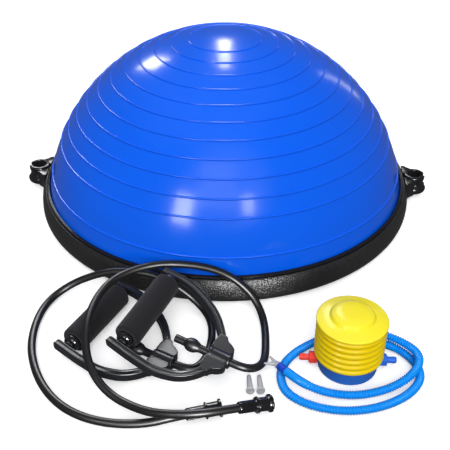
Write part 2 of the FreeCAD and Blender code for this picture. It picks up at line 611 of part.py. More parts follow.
def make_hose_ends():
    """A smooth cuff on each end of the ribbed hose; the first one holds the nozzle."""
    near = Vec(*HOSE[0])
    near_dir = (Vec(*HOSE[0]) - Vec(*HOSE[1])).normalize()
    far = Vec(*HOSE[-1])
    far_dir = (Vec(*HOSE[-1]) - Vec(*HOSE[-2])).normalize()
    for label, at, heading in (("hose_nozzle_cuff", near, near_dir), ("hose_pump_cuff", far, far_dir)):
        turned(label, [
            ("0", "0"), ("cuff_radius", "0"), ("cuff_radius", "cuff_length - 0.8"),
            ("cuff_radius - 0.8", "cuff_length"), ("cuff_bore", "cuff_length"), ("cuff_bore", "4"),
            ("0", "4"),
        ], FreeCAD.Placement(at, Rot(Vec(0, 0, 1), heading)))

    yaw = math.degrees(math.atan2(near_dir.y, near_dir.x))
    place = FreeCAD.Placement(near + near_dir * value("cuff_length"), Rot(yaw, 90, 0))
    spigot = cylinder("nozzle_spigot_rod", "nozzle_spigot", "nozzle_spigot_length + 1",
                      ("0", "0", "-nozzle_spigot_length"))
    root = cone("nozzle_root_cone", "nozzle_root", "nozzle_root - 1.4", "5", ("0", "0", "0.4"))
    prongs = []
    for name in ("straight_lean", "side_lean"):
        lean = Rot(Vec(1, 0, 0), -value(name))
        prongs.append(cone(name + "_prong", "prong_root", "0.9", "prong_length", ("0", "0", "3"), lean))
    keep(fused("nozzle_solid", [spigot, root] + prongs), "hose_nozzle", place)


def make_spare_plugs():
    plugs = []
    for i, (x, y) in enumerate(((54, -459.5), (66.5, -459))):
        lying = Rot(Vec(0, 0, 1), Vec(-0.09, 1, -0.1))
        body = doc.addObject("PartDesign::Body", f"spare_plug_{i}")
        turned_feature(body, outline(body, f"spare_outline_{i}", "XZ_Plane", plug_outline("plug_length")))
        body.Placement = FreeCAD.Placement(Vec(x, y, value("plug_head") + 0.2), lying)
        plugs.append(body)
    return plugs


# ---- assembly ---------------------------------------------------------------------------------

platform_body = make_platform()
make_dome()
make_clamp_ring()
make_bladder_floor()
make_valve()
floor_pads, ring_screws = make_small_hardware()
group_of("floor_pads", floor_pads)
group_of("clamp_screws", ring_screws)
make_ear("left_anchor_ear", -1, platform_body)
make_ear("right_anchor_ear", 1, platform_body)

for side, handle, route in (("left_band", LEFT_HANDLE, LEFT_TUBE), ("right_band", RIGHT_HANDLE, RIGHT_TUBE)):
    make_handle(side, handle)
    tube(side + "_tube", out_of_sleeve(handle, route), "tube_radius")
    make_connector(side, route[-2], route[-1])

make_pump()
tube("inflation_hose", HOSE, "hose_radius")
make_hose_ends()
group_of("spare_plugs", make_spare_plugs())

doc.recompute()
for item in doc.Objects:
    faults = [state for state in item.State if state in ("Invalid", "Error")]
    if faults:
        raise RuntimeError(f"{item.Label} is {faults}")

os.makedirs("parts", exist_ok=True)
for piece in pieces:
    shape = piece.Shape
    if shape.isNull() or not shape.isValid():
        raise RuntimeError(f"{piece.Label} has no valid shape")
    shape.exportStep(f"parts/{piece.Label}.step")
print(f"{len(pieces)} sub-parts written")
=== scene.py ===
"""Finished looks of the balance dome trainer, its two handled bands, foot pump, hose and spare plugs.

Sizes are in millimetres in the part's own frame; every mesh is brought to metres as it is stood in place.
"""
import json
import logging
import math
from dataclasses import dataclass
from enum import Enum
from typing import Callable, Optional, Sequence

import bmesh
import bpy
from mathutils import Euler, Matrix, Vector

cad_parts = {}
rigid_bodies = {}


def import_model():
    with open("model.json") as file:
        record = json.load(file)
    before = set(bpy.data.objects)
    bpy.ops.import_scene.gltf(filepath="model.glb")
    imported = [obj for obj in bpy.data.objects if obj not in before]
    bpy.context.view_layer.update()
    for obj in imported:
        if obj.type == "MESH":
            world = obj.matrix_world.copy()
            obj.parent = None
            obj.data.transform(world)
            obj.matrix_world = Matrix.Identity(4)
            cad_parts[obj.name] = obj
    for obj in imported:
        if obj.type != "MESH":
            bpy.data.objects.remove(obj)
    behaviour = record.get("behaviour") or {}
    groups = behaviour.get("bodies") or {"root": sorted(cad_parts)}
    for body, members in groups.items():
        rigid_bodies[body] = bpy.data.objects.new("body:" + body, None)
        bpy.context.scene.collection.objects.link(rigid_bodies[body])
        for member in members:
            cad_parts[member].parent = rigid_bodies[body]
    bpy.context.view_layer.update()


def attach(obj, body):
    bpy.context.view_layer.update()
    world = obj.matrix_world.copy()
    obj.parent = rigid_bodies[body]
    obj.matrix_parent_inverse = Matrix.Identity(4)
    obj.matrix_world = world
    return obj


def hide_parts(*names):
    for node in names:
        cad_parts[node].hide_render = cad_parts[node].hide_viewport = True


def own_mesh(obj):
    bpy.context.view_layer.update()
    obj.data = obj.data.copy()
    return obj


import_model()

logging.basicConfig(level=logging.INFO, format="%(name)s: %(message)s")
LOG = logging.getLogger("trainer")

METRES = 0.001
CREASE = 38.0  # degrees: sharper edges stay sharp
CORNER_SHARE = 0.45  # how much of a run its corner's rounding may take
UP = Vector((0, 0, 1))
Colour = tuple[float, float, float]
Spot = tuple[float, float, float]
Outline = list[tuple[float, float]]


# ---- finishes ---------------------------------------------------------------------------------

class Grain(Enum):
    """Small relief that a moulded, foamed or turned surface carries; on leather the raised pebble tops are also
    painted lighter, as a painted highlight.
    """

    SMOOTH = "smooth"
    LEATHER_WITH_PAINTED_HIGHLIGHT = "leather"
    FOAM = "foam"
    MATTE = "matte"
    TURNED = "turned"


@dataclass(frozen=True)
class Finish:
    """A plastic, rubber, vinyl or metal surface, mottled and grained in the piece's own coordinates.

    Attributes:
        name: what the finish is called on the piece.
        colour: the main colour, linear.
        second: the colour of its faint patches.
        patch: size of those patches, in millimetres.
        rough: roughness of the smoothest and the dullest spots.
        grain: the kind of relief; for leather it also paints a highlight on the pebble tops.
        grain_size: size of one grain, in millimetres.
        grain_depth: height of the relief, in millimetres.
        coat: share of clear gloss on top.
        metal: 1 for bare metal.
        clear: share of light let through.
        glow: share of light scattered under the skin.
        sheen: share of soft edge brightness.
    """

    name: str
    colour: Colour
    second: Colour
    patch: float = 40.0
    rough: tuple[float, float] = (0.3, 0.45)
    grain: Grain = Grain.SMOOTH
    grain_size: float = 1.0
    grain_depth: float = 0.05
    coat: float = 0.0
    metal: float = 0.0
    clear: float = 0.0
    glow: float = 0.0
    sheen: float = 0.0

    def material(self) -> bpy.types.Material:
        """Gives the finish's material, and makes it the first time.

        Returns:
            The shared Blender material of this finish.
        """
        made = bpy.data.materials.get(self.name)
        if made is None:
            made = bpy.data.materials.new(self.name)
            made.use_nodes = True
            self._weave(made.node_tree)
            made.diffuse_color = (*self.colour, 1.0)
        return made

    def _weave(self, tree: bpy.types.NodeTree) -> None:
        """Fills the node tree with colour, roughness and relief, and for leather a painted highlight on the pebble
        tops.

        Args:
            tree: the material's own node tree.
        """
        bench = Bench(tree)
        skin = bench.skin
        where = bench.add("ShaderNodeTexCoord").outputs["Object"]
        patches = bench.noise(where, 1.0 / (self.patch * METRES), detail=5.0)
        tint = bench.blend(patches, self.second, self.colour)
        fine = bench.noise(where, 1.0 / (self.grain_size * METRES), detail=3.0)
        dullness = bench.span(fine, *self.rough)
        relief = self._relief(bench, where, fine)
        # Leather: the raised pebble tops are painted a lighter grey, a painted highlight that stands in for the
        # grain's glint.
        if self.grain is Grain.LEATHER_WITH_PAINTED_HIGHLIGHT:
            tint = bench.blend(bench.span(relief, 0.0, 0.55), tint, tuple(2.6 * c + 0.012 for c in self.colour))
        bump = bench.add("ShaderNodeBump", {
            "Strength": 1.0, "Distance": self.grain_depth * METRES, "Height": relief})
        bench.wire(bump.outputs["Normal"], skin.inputs["Normal"])
        bench.wire(tint, skin.inputs["Base Color"])
        bench.wire(dullness, skin.inputs["Roughness"])
        for socket, amount in (
            ("Coat Weight", self.coat),
            ("Metallic", self.metal),
            ("Transmission Weight", self.clear),
            ("Subsurface Weight", self.glow),
            ("Sheen Weight", self.sheen),
        ):
            skin.inputs[socket].default_value = amount
        skin.inputs["Coat Roughness"].default_value = 0.08
        skin.inputs["Subsurface Radius"].default_value = (0.002, 0.002, 0.002)

    def _relief(self, bench: "Bench", where: bpy.types.NodeSocket,
                fine: bpy.types.NodeSocket) -> bpy.types.NodeSocket:
        """Works out the height of the grain.

        Args:
            bench: the tree being wired.
            where: the piece's own coordinates.
            fine: the finish's fine noise.

        Returns:
            The height.
        """
        cells = 1.0 / (self.grain_size * METRES)
        if self.grain is Grain.SMOOTH:
            return fine
        if self.grain is Grain.LEATHER_WITH_PAINTED_HIGHLIGHT:
            pebble = bench.add("ShaderNodeTexVoronoi", {"Scale": cells, "Randomness": 0.9, "Vector": where})
            return bench.sums("MULTIPLY", bench.span(pebble.outputs["Distance"], 1.0, 0.0, high=0.7),
                              bench.noise(where, cells * 0.45, detail=2.0))
        if self.grain is Grain.FOAM:
            pits = bench.add("ShaderNodeTexVoronoi", {"Scale": cells, "Vector": where})
            return bench.sums("ADD", pits.outputs["Distance"], bench.noise(where, cells * 0.3, detail=4.0))
        if self.grain is Grain.TURNED:
            return bench.noise(where, cells, detail=1.0)
        return bench.sums("ADD", fine, bench.noise(where, cells * 3.0, detail=2.0))


MIX_FIRST, MIX_LAST, MIX_COLOUR = 6, 7, 2  # the mix node's colour sockets


class Bench:
    """Adds and wires the nodes of one material."""

    def __init__(self, tree: bpy.types.NodeTree) -> None:
        """Takes the tree and its skin shader.

        Args:
            tree: the material's own node tree.
        """
        self.tree = tree
        self.skin = tree.nodes["Principled BSDF"]

    def add(self, kind: str, inputs: Optional[dict] = None) -> bpy.types.Node:
        """Adds one node.

        Args:
            kind: the node's type.
            inputs: for each input, a number or colour to set, or a socket to wire.

        Returns:
            The node.
        """
        node = self.tree.nodes.new(kind)
        for key, value in (inputs or {}).items():
            if isinstance(value, bpy.types.NodeSocket):
                self.wire(value, node.inputs[key])
            else:
                node.inputs[key].default_value = value
        return node

    def wire(self, start: bpy.types.NodeSocket, end: bpy.types.NodeSocket) -> None:
        """Joins two sockets."""
        self.tree.links.new(start, end)

    def noise(self, where: bpy.types.NodeSocket, scale: float, detail: float) -> bpy.types.NodeSocket:
        """Adds soft noise.

        Args:
            where: the coordinates it reads.
            scale: how fine it is, per metre.
            detail: how many finer layers it has.

        Returns:
            The noise's value, from 0 to 1.
        """
        return self.add("ShaderNodeTexNoise", {"Scale": scale, "Detail": detail, "Vector": where}).outputs["Fac"]

    def span(self, value: bpy.types.NodeSocket, first: float, last: float,
             low: float = 0.0, high: float = 1.0) -> bpy.types.NodeSocket:
        """Stretches a value to a new range.

        Args:
            value: what is stretched.
            first: what the low end becomes.
            last: what the high end becomes.
            low: the old range's low end.
            high: the old range's high end.

        Returns:
            The stretched value.
        """
        ends = {"From Min": low, "From Max": high, "To Min": first, "To Max": last, "Value": value}
        return self.add("ShaderNodeMapRange", ends).outputs["Result"]

    def sums(self, way: str, a: bpy.types.NodeSocket, b: bpy.types.NodeSocket) -> bpy.types.NodeSocket:
        """Adds, multiplies or compares two values.

        Args:
            way: the operation's name.
            a: the first value.
            b: the second value.

        Returns:
            The result.
        """
        node = self.add("ShaderNodeMath", {0: a, 1: b})
        node.operation = way
        return node.outputs["Value"]

    def blend(self, share: bpy.types.NodeSocket, first: "Colour | bpy.types.NodeSocket",
              last: Colour) -> bpy.types.NodeSocket:
        """Mixes two colours.

        Args:
            share: how much of the last colour shows.
            first: the colour, or a socket that gives it, at share 0.
            last: the colour at share 1.

        Returns:
            The mixed colour.
        """
        start = (*first, 1.0) if isinstance(first, tuple) else first
        node = self.add("ShaderNodeMix", {"Factor": share, MIX_FIRST: start, MIX_LAST: (*last, 1.0)})
        node.data_type = "RGBA"
        return node.outputs[MIX_COLOUR]


# The platform's grain carries a painted highlight: its pebble tops are coloured lighter.
PLATFORM_GRAIN = Finish("platform_grain", (0.0125, 0.0125, 0.0135), (0.009, 0.009, 0.010), 30.0, (0.30, 0.46),
                        Grain.LEATHER_WITH_PAINTED_HIGHLIGHT, 2.3, 0.85)
EAR_PLASTIC = Finish("ear_plastic", (0.012, 0.012, 0.014), (0.008, 0.008, 0.010), 14.0, (0.14, 0.26),
                     Grain.MATTE, 1.5, 0.05)
CLAMP_PLASTIC = Finish("clamp_plastic", (0.008, 0.008, 0.009), (0.005, 0.005, 0.006), 24.0, (0.1, 0.18),
                       Grain.MATTE, 1.2, 0.01, coat=0.3)
DOME_VINYL = Finish("dome_vinyl", (0.001, 0.118, 0.86), (0.001, 0.103, 0.78), 120.0, (0.15, 0.23),
                    Grain.SMOOTH, 14.0, 0.05, coat=0.15)
FLOOR_VINYL = Finish("floor_vinyl", (0.004, 0.06, 0.45), (0.003, 0.05, 0.38), 60.0, (0.3, 0.42),
                     Grain.MATTE, 1.5, 0.03)
PAD_RUBBER = Finish("pad_rubber", (0.03, 0.03, 0.032), (0.02, 0.02, 0.022), 9.0, (0.6, 0.8),
                    Grain.FOAM, 0.8, 0.1)
SCREW_STEEL = Finish("screw_steel", (0.55, 0.55, 0.57), (0.42, 0.42, 0.44), 3.0, (0.25, 0.42),
                     Grain.TURNED, 0.6, 0.02, metal=1.0)
VALVE_VINYL = Finish("valve_vinyl", (0.02, 0.06, 0.30), (0.015, 0.05, 0.25), 8.0, (0.3, 0.45),
                     Grain.MATTE, 0.9, 0.03)
PLUG_MILKY = Finish("plug_milky", (0.66, 0.67, 0.69), (0.58, 0.59, 0.61), 6.0, (0.25, 0.4),
                    Grain.SMOOTH, 1.6, 0.02, clear=0.15, glow=0.2)
NOZZLE_MILKY = Finish("nozzle_milky", (0.56, 0.57, 0.62), (0.48, 0.49, 0.54), 6.0, (0.2, 0.35),
                      Grain.SMOOTH, 1.6, 0.02, clear=0.15, glow=0.15)
HANDLE_PLASTIC = Finish("handle_plastic", (0.016, 0.017, 0.021), (0.011, 0.012, 0.015), 18.0, (0.24, 0.36),
                        Grain.MATTE, 1.1, 0.025)
HUB_PLASTIC = Finish("hub_plastic", (0.013, 0.013, 0.016), (0.009, 0.009, 0.011), 12.0, (0.1, 0.2),
                     Grain.SMOOTH, 2.0, 0.01, coat=0.5)
GRIP_FOAM = Finish("grip_foam", (0.0125, 0.011, 0.013), (0.009, 0.008, 0.0095), 7.0, (0.82, 0.97),
                   Grain.FOAM, 0.75, 0.3, sheen=0.12)
TUBE_RUBBER = Finish("tube_rubber", (0.009, 0.009, 0.010), (0.006, 0.006, 0.007), 16.0, (0.3, 0.42),
                     Grain.MATTE, 1.4, 0.025)
STOPPER_PLASTIC = Finish("stopper_plastic", (0.011, 0.011, 0.013), (0.008, 0.008, 0.009), 9.0, (0.3, 0.44),
                         Grain.MATTE, 1.0, 0.02)
CONNECTOR_PLASTIC = Finish("connector_plastic", (0.009, 0.009, 0.011), (0.006, 0.006, 0.008), 10.0,
                           (0.14, 0.24), Grain.SMOOTH, 1.6, 0.015, coat=0.4)
PUMP_BLUE = Finish("pump_blue", (0.008, 0.085, 0.52), (0.006, 0.07, 0.44), 20.0, (0.25, 0.38),
                   Grain.MATTE, 1.2, 0.02)
BELLOWS_YELLOW = Finish("bellows_yellow", (0.56, 0.26, 0.001), (0.51, 0.23, 0.001), 24.0, (0.27, 0.4),
                        Grain.MATTE, 1.5, 0.02, glow=0.05)
CAP_YELLOW = Finish("cap_yellow", (0.76, 0.58, 0.006), (0.70, 0.52, 0.005), 24.0, (0.2, 0.3),
                    Grain.SMOOTH, 3.0, 0.02, coat=0.25, glow=0.05)
BARB_RED = Finish("barb_red", (0.72, 0.022, 0.012), (0.6, 0.016, 0.01), 7.0, (0.22, 0.34),
                  Grain.SMOOTH, 1.5, 0.015)
BARB_BLUE = Finish("barb_blue", (0.006, 0.09, 0.72), (0.005, 0.07, 0.6), 7.0, (0.2, 0.32),
                   Grain.SMOOTH, 1.5, 0.015)
HOSE_BLUE = Finish("hose_blue", (0.003, 0.056, 0.54), (0.003, 0.046, 0.47), 30.0, (0.2, 0.32),
                   Grain.SMOOTH, 2.0, 0.015, coat=0.2)
CUFF_BLUE = Finish("cuff_blue", (0.003, 0.06, 0.55), (0.003, 0.05, 0.48), 8.0, (0.22, 0.34),
                   Grain.SMOOTH, 1.8, 0.015)


# ---- making meshes ----------------------------------------------------------------------------

def eased(corner: Vector, back: Vector, ahead: Vector, reach: float, steps: int) -> list[Vector]:
    """Rounds one corner.

    Args:
        corner: the corner's place.
        back: the way to the point before it.
        ahead: the way to the point after it.
        reach: how far from the corner the rounding starts.
        steps: how many straight bits make the rounding.

    Returns:
        The points that take the corner's place.
    """
    start = corner + back.normalized() * reach
    end = corner + ahead.normalized() * reach
    shares = [k / steps for k in range(steps + 1)]
    return [start.lerp(corner, share).lerp(corner.lerp(end, share), share) for share in shares]


def softened(corners: Sequence[tuple[float, float]], radius: float, steps: int = 4,
             closed: bool = False) -> Outline:
    """Rounds the corners of an outline with small arcs.

    Args:
        corners: the outline's corners.
        radius: how far from its corner each rounding starts, at most.
        steps: how many straight bits make one rounding.
        closed: whether the last corner joins the first.

    Returns:
        The rounded outline.
    """
    spots = [Vector(c) for c in corners]
    rounded: list[Vector] = []
    count = len(spots)
    for i, corner in enumerate(spots):
        if not closed and i in (0, count - 1):
            rounded.append(corner)
            continue
        back = spots[i - 1] - corner
        ahead = spots[(i + 1) % count] - corner
        reach = min(radius, CORNER_SHARE * back.length, CORNER_SHARE * ahead.length)
        rounded += eased(corner, back, ahead, reach, steps)
    return [(p.x, p.y) for p in rounded]


def spun(outline: Sequence[tuple[float, float]], steps: int = 96, closed: bool = False) -> bmesh.types.BMesh:
    """Turns an outline of (radius, height) about the upright axis.

    Args:
        outline: the half section.
        steps: how many facets go round.
        closed: whether the section is a closed loop.

    Returns:
        The turned mesh, still in millimetres.
    """
    bm = bmesh.new()
    spots = [bm.verts.new((r, 0.0, z)) for r, z in outline]
    runs = [bm.edges.new(pair) for pair in zip(spots, spots[1:])]
    if closed:
        runs.append(bm.edges.new((spots[-1], spots[0])))
    bmesh.ops.spin(bm, geom=spots + runs, cent=(0, 0, 0), axis=(0, 0, 1), angle=math.tau, steps=steps,
                   use_merge=True, use_duplicate=False)
    bmesh.ops.remove_doubles(bm, verts=bm.verts, dist=1e-4)
    bmesh.ops.recalc_face_normals(bm, faces=bm.faces)
    return bm


def turned(corners: Sequence[tuple[float, float]], radius: float, bits: int, steps: int,
           closed: bool = False) -> bmesh.types.BMesh:
    """Rounds an outline's corners and turns it about the upright axis.

    Args:
        corners: the half section's corners.
        radius: how far from its corner each rounding starts, at most.
        bits: how many straight bits make one rounding.
        steps: how many facets go round.
        closed: whether the section is a closed loop.

    Returns:
        The turned mesh, in millimetres.
    """
    return spun(softened(corners, radius, bits, closed), steps, closed)


def drawn(stations: Sequence[Matrix], section: Sequence[tuple[float, float]]) -> bmesh.types.BMesh:
    """Draws a closed section through a row of stations, and caps both ends.

    Args:
        stations: the section's place at each step; its Z runs along the draw.
        section: the closed section.

    Returns:
        The drawn mesh, in the stations' units.
    """
    bm = bmesh.new()
    spots = [bm.verts.new(stations[0] @ Vector((a, b, 0.0))) for a, b in section]
    ring = [bm.edges.new((spots[i - 1], spots[i])) for i in range(len(spots))]
    bm.faces.new(spots)
    for before, after in zip(stations, stations[1:]):
        grown = bmesh.ops.extrude_edge_only(bm, edges=ring)["geom"]
        moved = [g for g in grown if isinstance(g, bmesh.types.BMVert)]
        fresh = set(moved)
        ring = [g for g in grown if isinstance(g, bmesh.types.BMEdge) and set(g.verts) <= fresh]
        bmesh.ops.transform(bm, matrix=after @ before.inverted(), verts=moved)
    bmesh.ops.contextual_create(bm, geom=ring)
    bmesh.ops.recalc_face_normals(bm, faces=bm.faces)
    return bm


def stations_along(line: Sequence[Vector], sizes: Optional[Callable[[float], float]] = None,
                   turning: bool = False) -> list[Matrix]:
    """Places a section square to a line at each of its points.

    Args:
        line: the points.
        sizes: gives the section's scale from the length run so far, if it changes.
        turning: whether the section is carried along the bends, in place of staying upright.

    Returns:
        One matrix per point.
    """
    stations = []
    gone = 0.0
    second = UP
    for i, spot in enumerate(line):
        before = line[max(i - 1, 0)]
        after = line[min(i + 1, len(line) - 1)]
        gone += (spot - before).length
        heading = (after - before).normalized()
        aim = second if turning else UP
        second = (aim - heading * aim.dot(heading)).normalized()
        first = second.cross(heading)
        size = sizes(gone) if sizes else 1.0
        turn = Matrix((first * size, second * size, heading * size)).transposed().to_4x4()
        stations.append(Matrix.Translation(spot) @ turn)
    return stations


def rounded_line(corners: Sequence[Sequence[float]], steps: int = 6) -> list[Vector]:
    """Replaces each corner of a route by a tangent arc that takes 0.45 of its shorter run.

    Args:
        corners: the route's points.
        steps: how many straight bits make one arc.

    Returns:
        The points of the rounded line.
    """
    spots = [Vector(c) for c in corners]
    line = [spots[0]]
    for before, corner, after in zip(spots, spots[1:], spots[2:]):
        back = before - corner
        ahead = after - corner
        reach = CORNER_SHARE * min(back.length, ahead.length)
        line += eased(corner, back, ahead, reach, steps)
    line.append(spots[-1])
    return line


def bevelled(bm: bmesh.types.BMesh, edges: list[bmesh.types.BMEdge], width: float) -> None:
    """Rounds the given edges of a mesh."""
    bmesh.ops.bevel(bm, geom=edges, offset=width, offset_type="OFFSET", segments=3, profile=0.5,
                    affect="EDGES", material=-1, clamp_overlap=True)


def reshaped(bm: bmesh.types.BMesh, low: float, high: float, beyond: float,
             rule: Callable[[float, float], float]) -> None:
    """Gives part of a turned wall a new radius.

    Args:
        bm: the mesh, about the Z axis.
        low: where the part starts.
        high: where it ends.
        beyond: only what is further out than this changes.
        rule: gives the new radius from the old one and the angle.
    """
    for v in bm.verts:
        r = math.hypot(v.co.x, v.co.y)
        if low < v.co.z < high and r > beyond:
            v.co.xy *= rule(r, math.atan2(v.co.y, v.co.x)) / r


def slab(outline: Sequence[tuple[float, float]], low: float, high: float, edge: float) -> bmesh.types.BMesh:
    """A flat plate of the given outline with rounded edges.

    Args:
        outline: the plate's closed outline, seen from above.
        low: its underside.
        high: its top.
        edge: radius of its rounded edges.

    Returns:
        The plate's mesh, in millimetres.
    """
    bm = bmesh.new()
    face = bm.faces.new([bm.verts.new((x, y, low)) for x, y in outline])
    grown = bmesh.ops.extrude_face_region(bm, geom=[face])["geom"]
    lifted = [g for g in grown if isinstance(g, bmesh.types.BMVert)]
    bmesh.ops.translate(bm, vec=(0, 0, high - low), verts=lifted)
    bmesh.ops.recalc_face_normals(bm, faces=bm.faces)
    if edge:
        bevelled(bm, list(bm.edges), edge)
    return bm


def moved(bm: bmesh.types.BMesh, place: Matrix) -> bmesh.types.BMesh:
    """Moves a whole mesh and gives it back."""
    bmesh.ops.transform(bm, matrix=place, verts=bm.verts)
    return bm


def around(radius: float, count: int, start: float) -> Outline:
    """Evenly spaced spots on a circle, the first one at a start angle in degrees."""
    turns = [math.radians(start + i * 360 / count) for i in range(count)]
    return [(radius * math.cos(turn), radius * math.sin(turn)) for turn in turns]


def at(x: float, y: float, z: float, yaw: float = 0.0, pitch: float = 0.0, roll: float = 0.0) -> Matrix:
    """A place and a turn.

    Args:
        x: along +X, in millimetres.
        y: along +Y.
        z: along +Z.
        yaw: turn about Z, in degrees, made last.
        pitch: turn about Y, made second.
        roll: turn about X, made first.

    Returns:
        The matrix.
    """
    turn = Euler((math.radians(roll), math.radians(pitch), math.radians(yaw)), "XYZ")
    return Matrix.Translation((x, y, z)) @ turn.to_matrix().to_4x4()


def facing(spot: Sequence[float], heading: Sequence[float]) -> Matrix:
    """A place whose Z axis points along a heading."""
    return Matrix.Translation(spot) @ UP.rotation_difference(Vector(heading)).to_matrix().to_4x4()


def gathered(*parts: bmesh.types.BMesh) -> bmesh.types.BMesh:
    """Puts several meshes into the first one, and gives it back."""
    first = parts[0]
    for part in parts[1:]:
        spare = bpy.data.meshes.new("spare")
        part.to_mesh(spare)
        part.free()
        first.from_mesh(spare)
        bpy.data.meshes.remove(spare)
    return first


def raised(bm: bmesh.types.BMesh, name: str) -> bpy.types.Object:
    """Makes a bare object of a mesh, in metres.

    Args:
        bm: the mesh, in millimetres in the part's frame; it is used up.
        name: the object's name.

    Returns:
        The object, linked to the scene.
    """
    bmesh.ops.scale(bm, vec=(METRES, METRES, METRES), verts=bm.verts)
    mesh = bpy.data.meshes.new(name)
    bm.to_mesh(mesh)
    bm.free()
    piece = bpy.data.objects.new(name, mesh)
    bpy.context.scene.collection.objects.link(piece)
    return piece


def stood(bm: bmesh.types.BMesh, name: str, finish: Finish, body: str,
          replaces: Sequence[str] = (), crease: float = CREASE) -> bpy.types.Object:
    """Brings a mesh to metres, dresses it, and ties it to its moving body.

    Args:
        bm: the mesh, in millimetres in the part's frame; it is used up.
        name: the piece's name.
        finish: what its surface is.
        body: the CAD body it moves with.
        replaces: the CAD nodes it stands for.
        crease: edges sharper than this, in degrees, stay sharp.

    Returns:
        The finished piece.
    """
    piece = raised(bm, name)
    mesh = piece.data
    for polygon in mesh.polygons:
        polygon.use_smooth = True
    mesh.set_sharp_from_angle(angle=math.radians(crease))
    mesh.materials.append(finish.material())
    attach(piece, body)
    if replaces:
        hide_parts(*replaces)
    LOG.info("%s: %d faces on %s", name, len(mesh.polygons), body)
    return piece


def carved(piece: bpy.types.Object, tools: Sequence[bmesh.types.BMesh]) -> None:
    """Cuts tools out of a piece for good.

    Args:
        piece: what is cut.
        tools: closed meshes, in millimetres; they are used up.
    """
    for tool in tools:
        cutter = raised(tool, "tool")
        cut = piece.modifiers.new("cut", "BOOLEAN")
        cut.object = cutter
        cut.operation = "DIFFERENCE"
        cut.solver = "EXACT"
        bpy.context.view_layer.update()
        seen = piece.evaluated_get(bpy.context.evaluated_depsgraph_get())
        fresh = bpy.data.meshes.new_from_object(seen)
        piece.modifiers.remove(cut)
        piece.data = fresh
        bpy.data.objects.remove(cutter)


# ---- the trainer ------------------------------------------------------------------------------

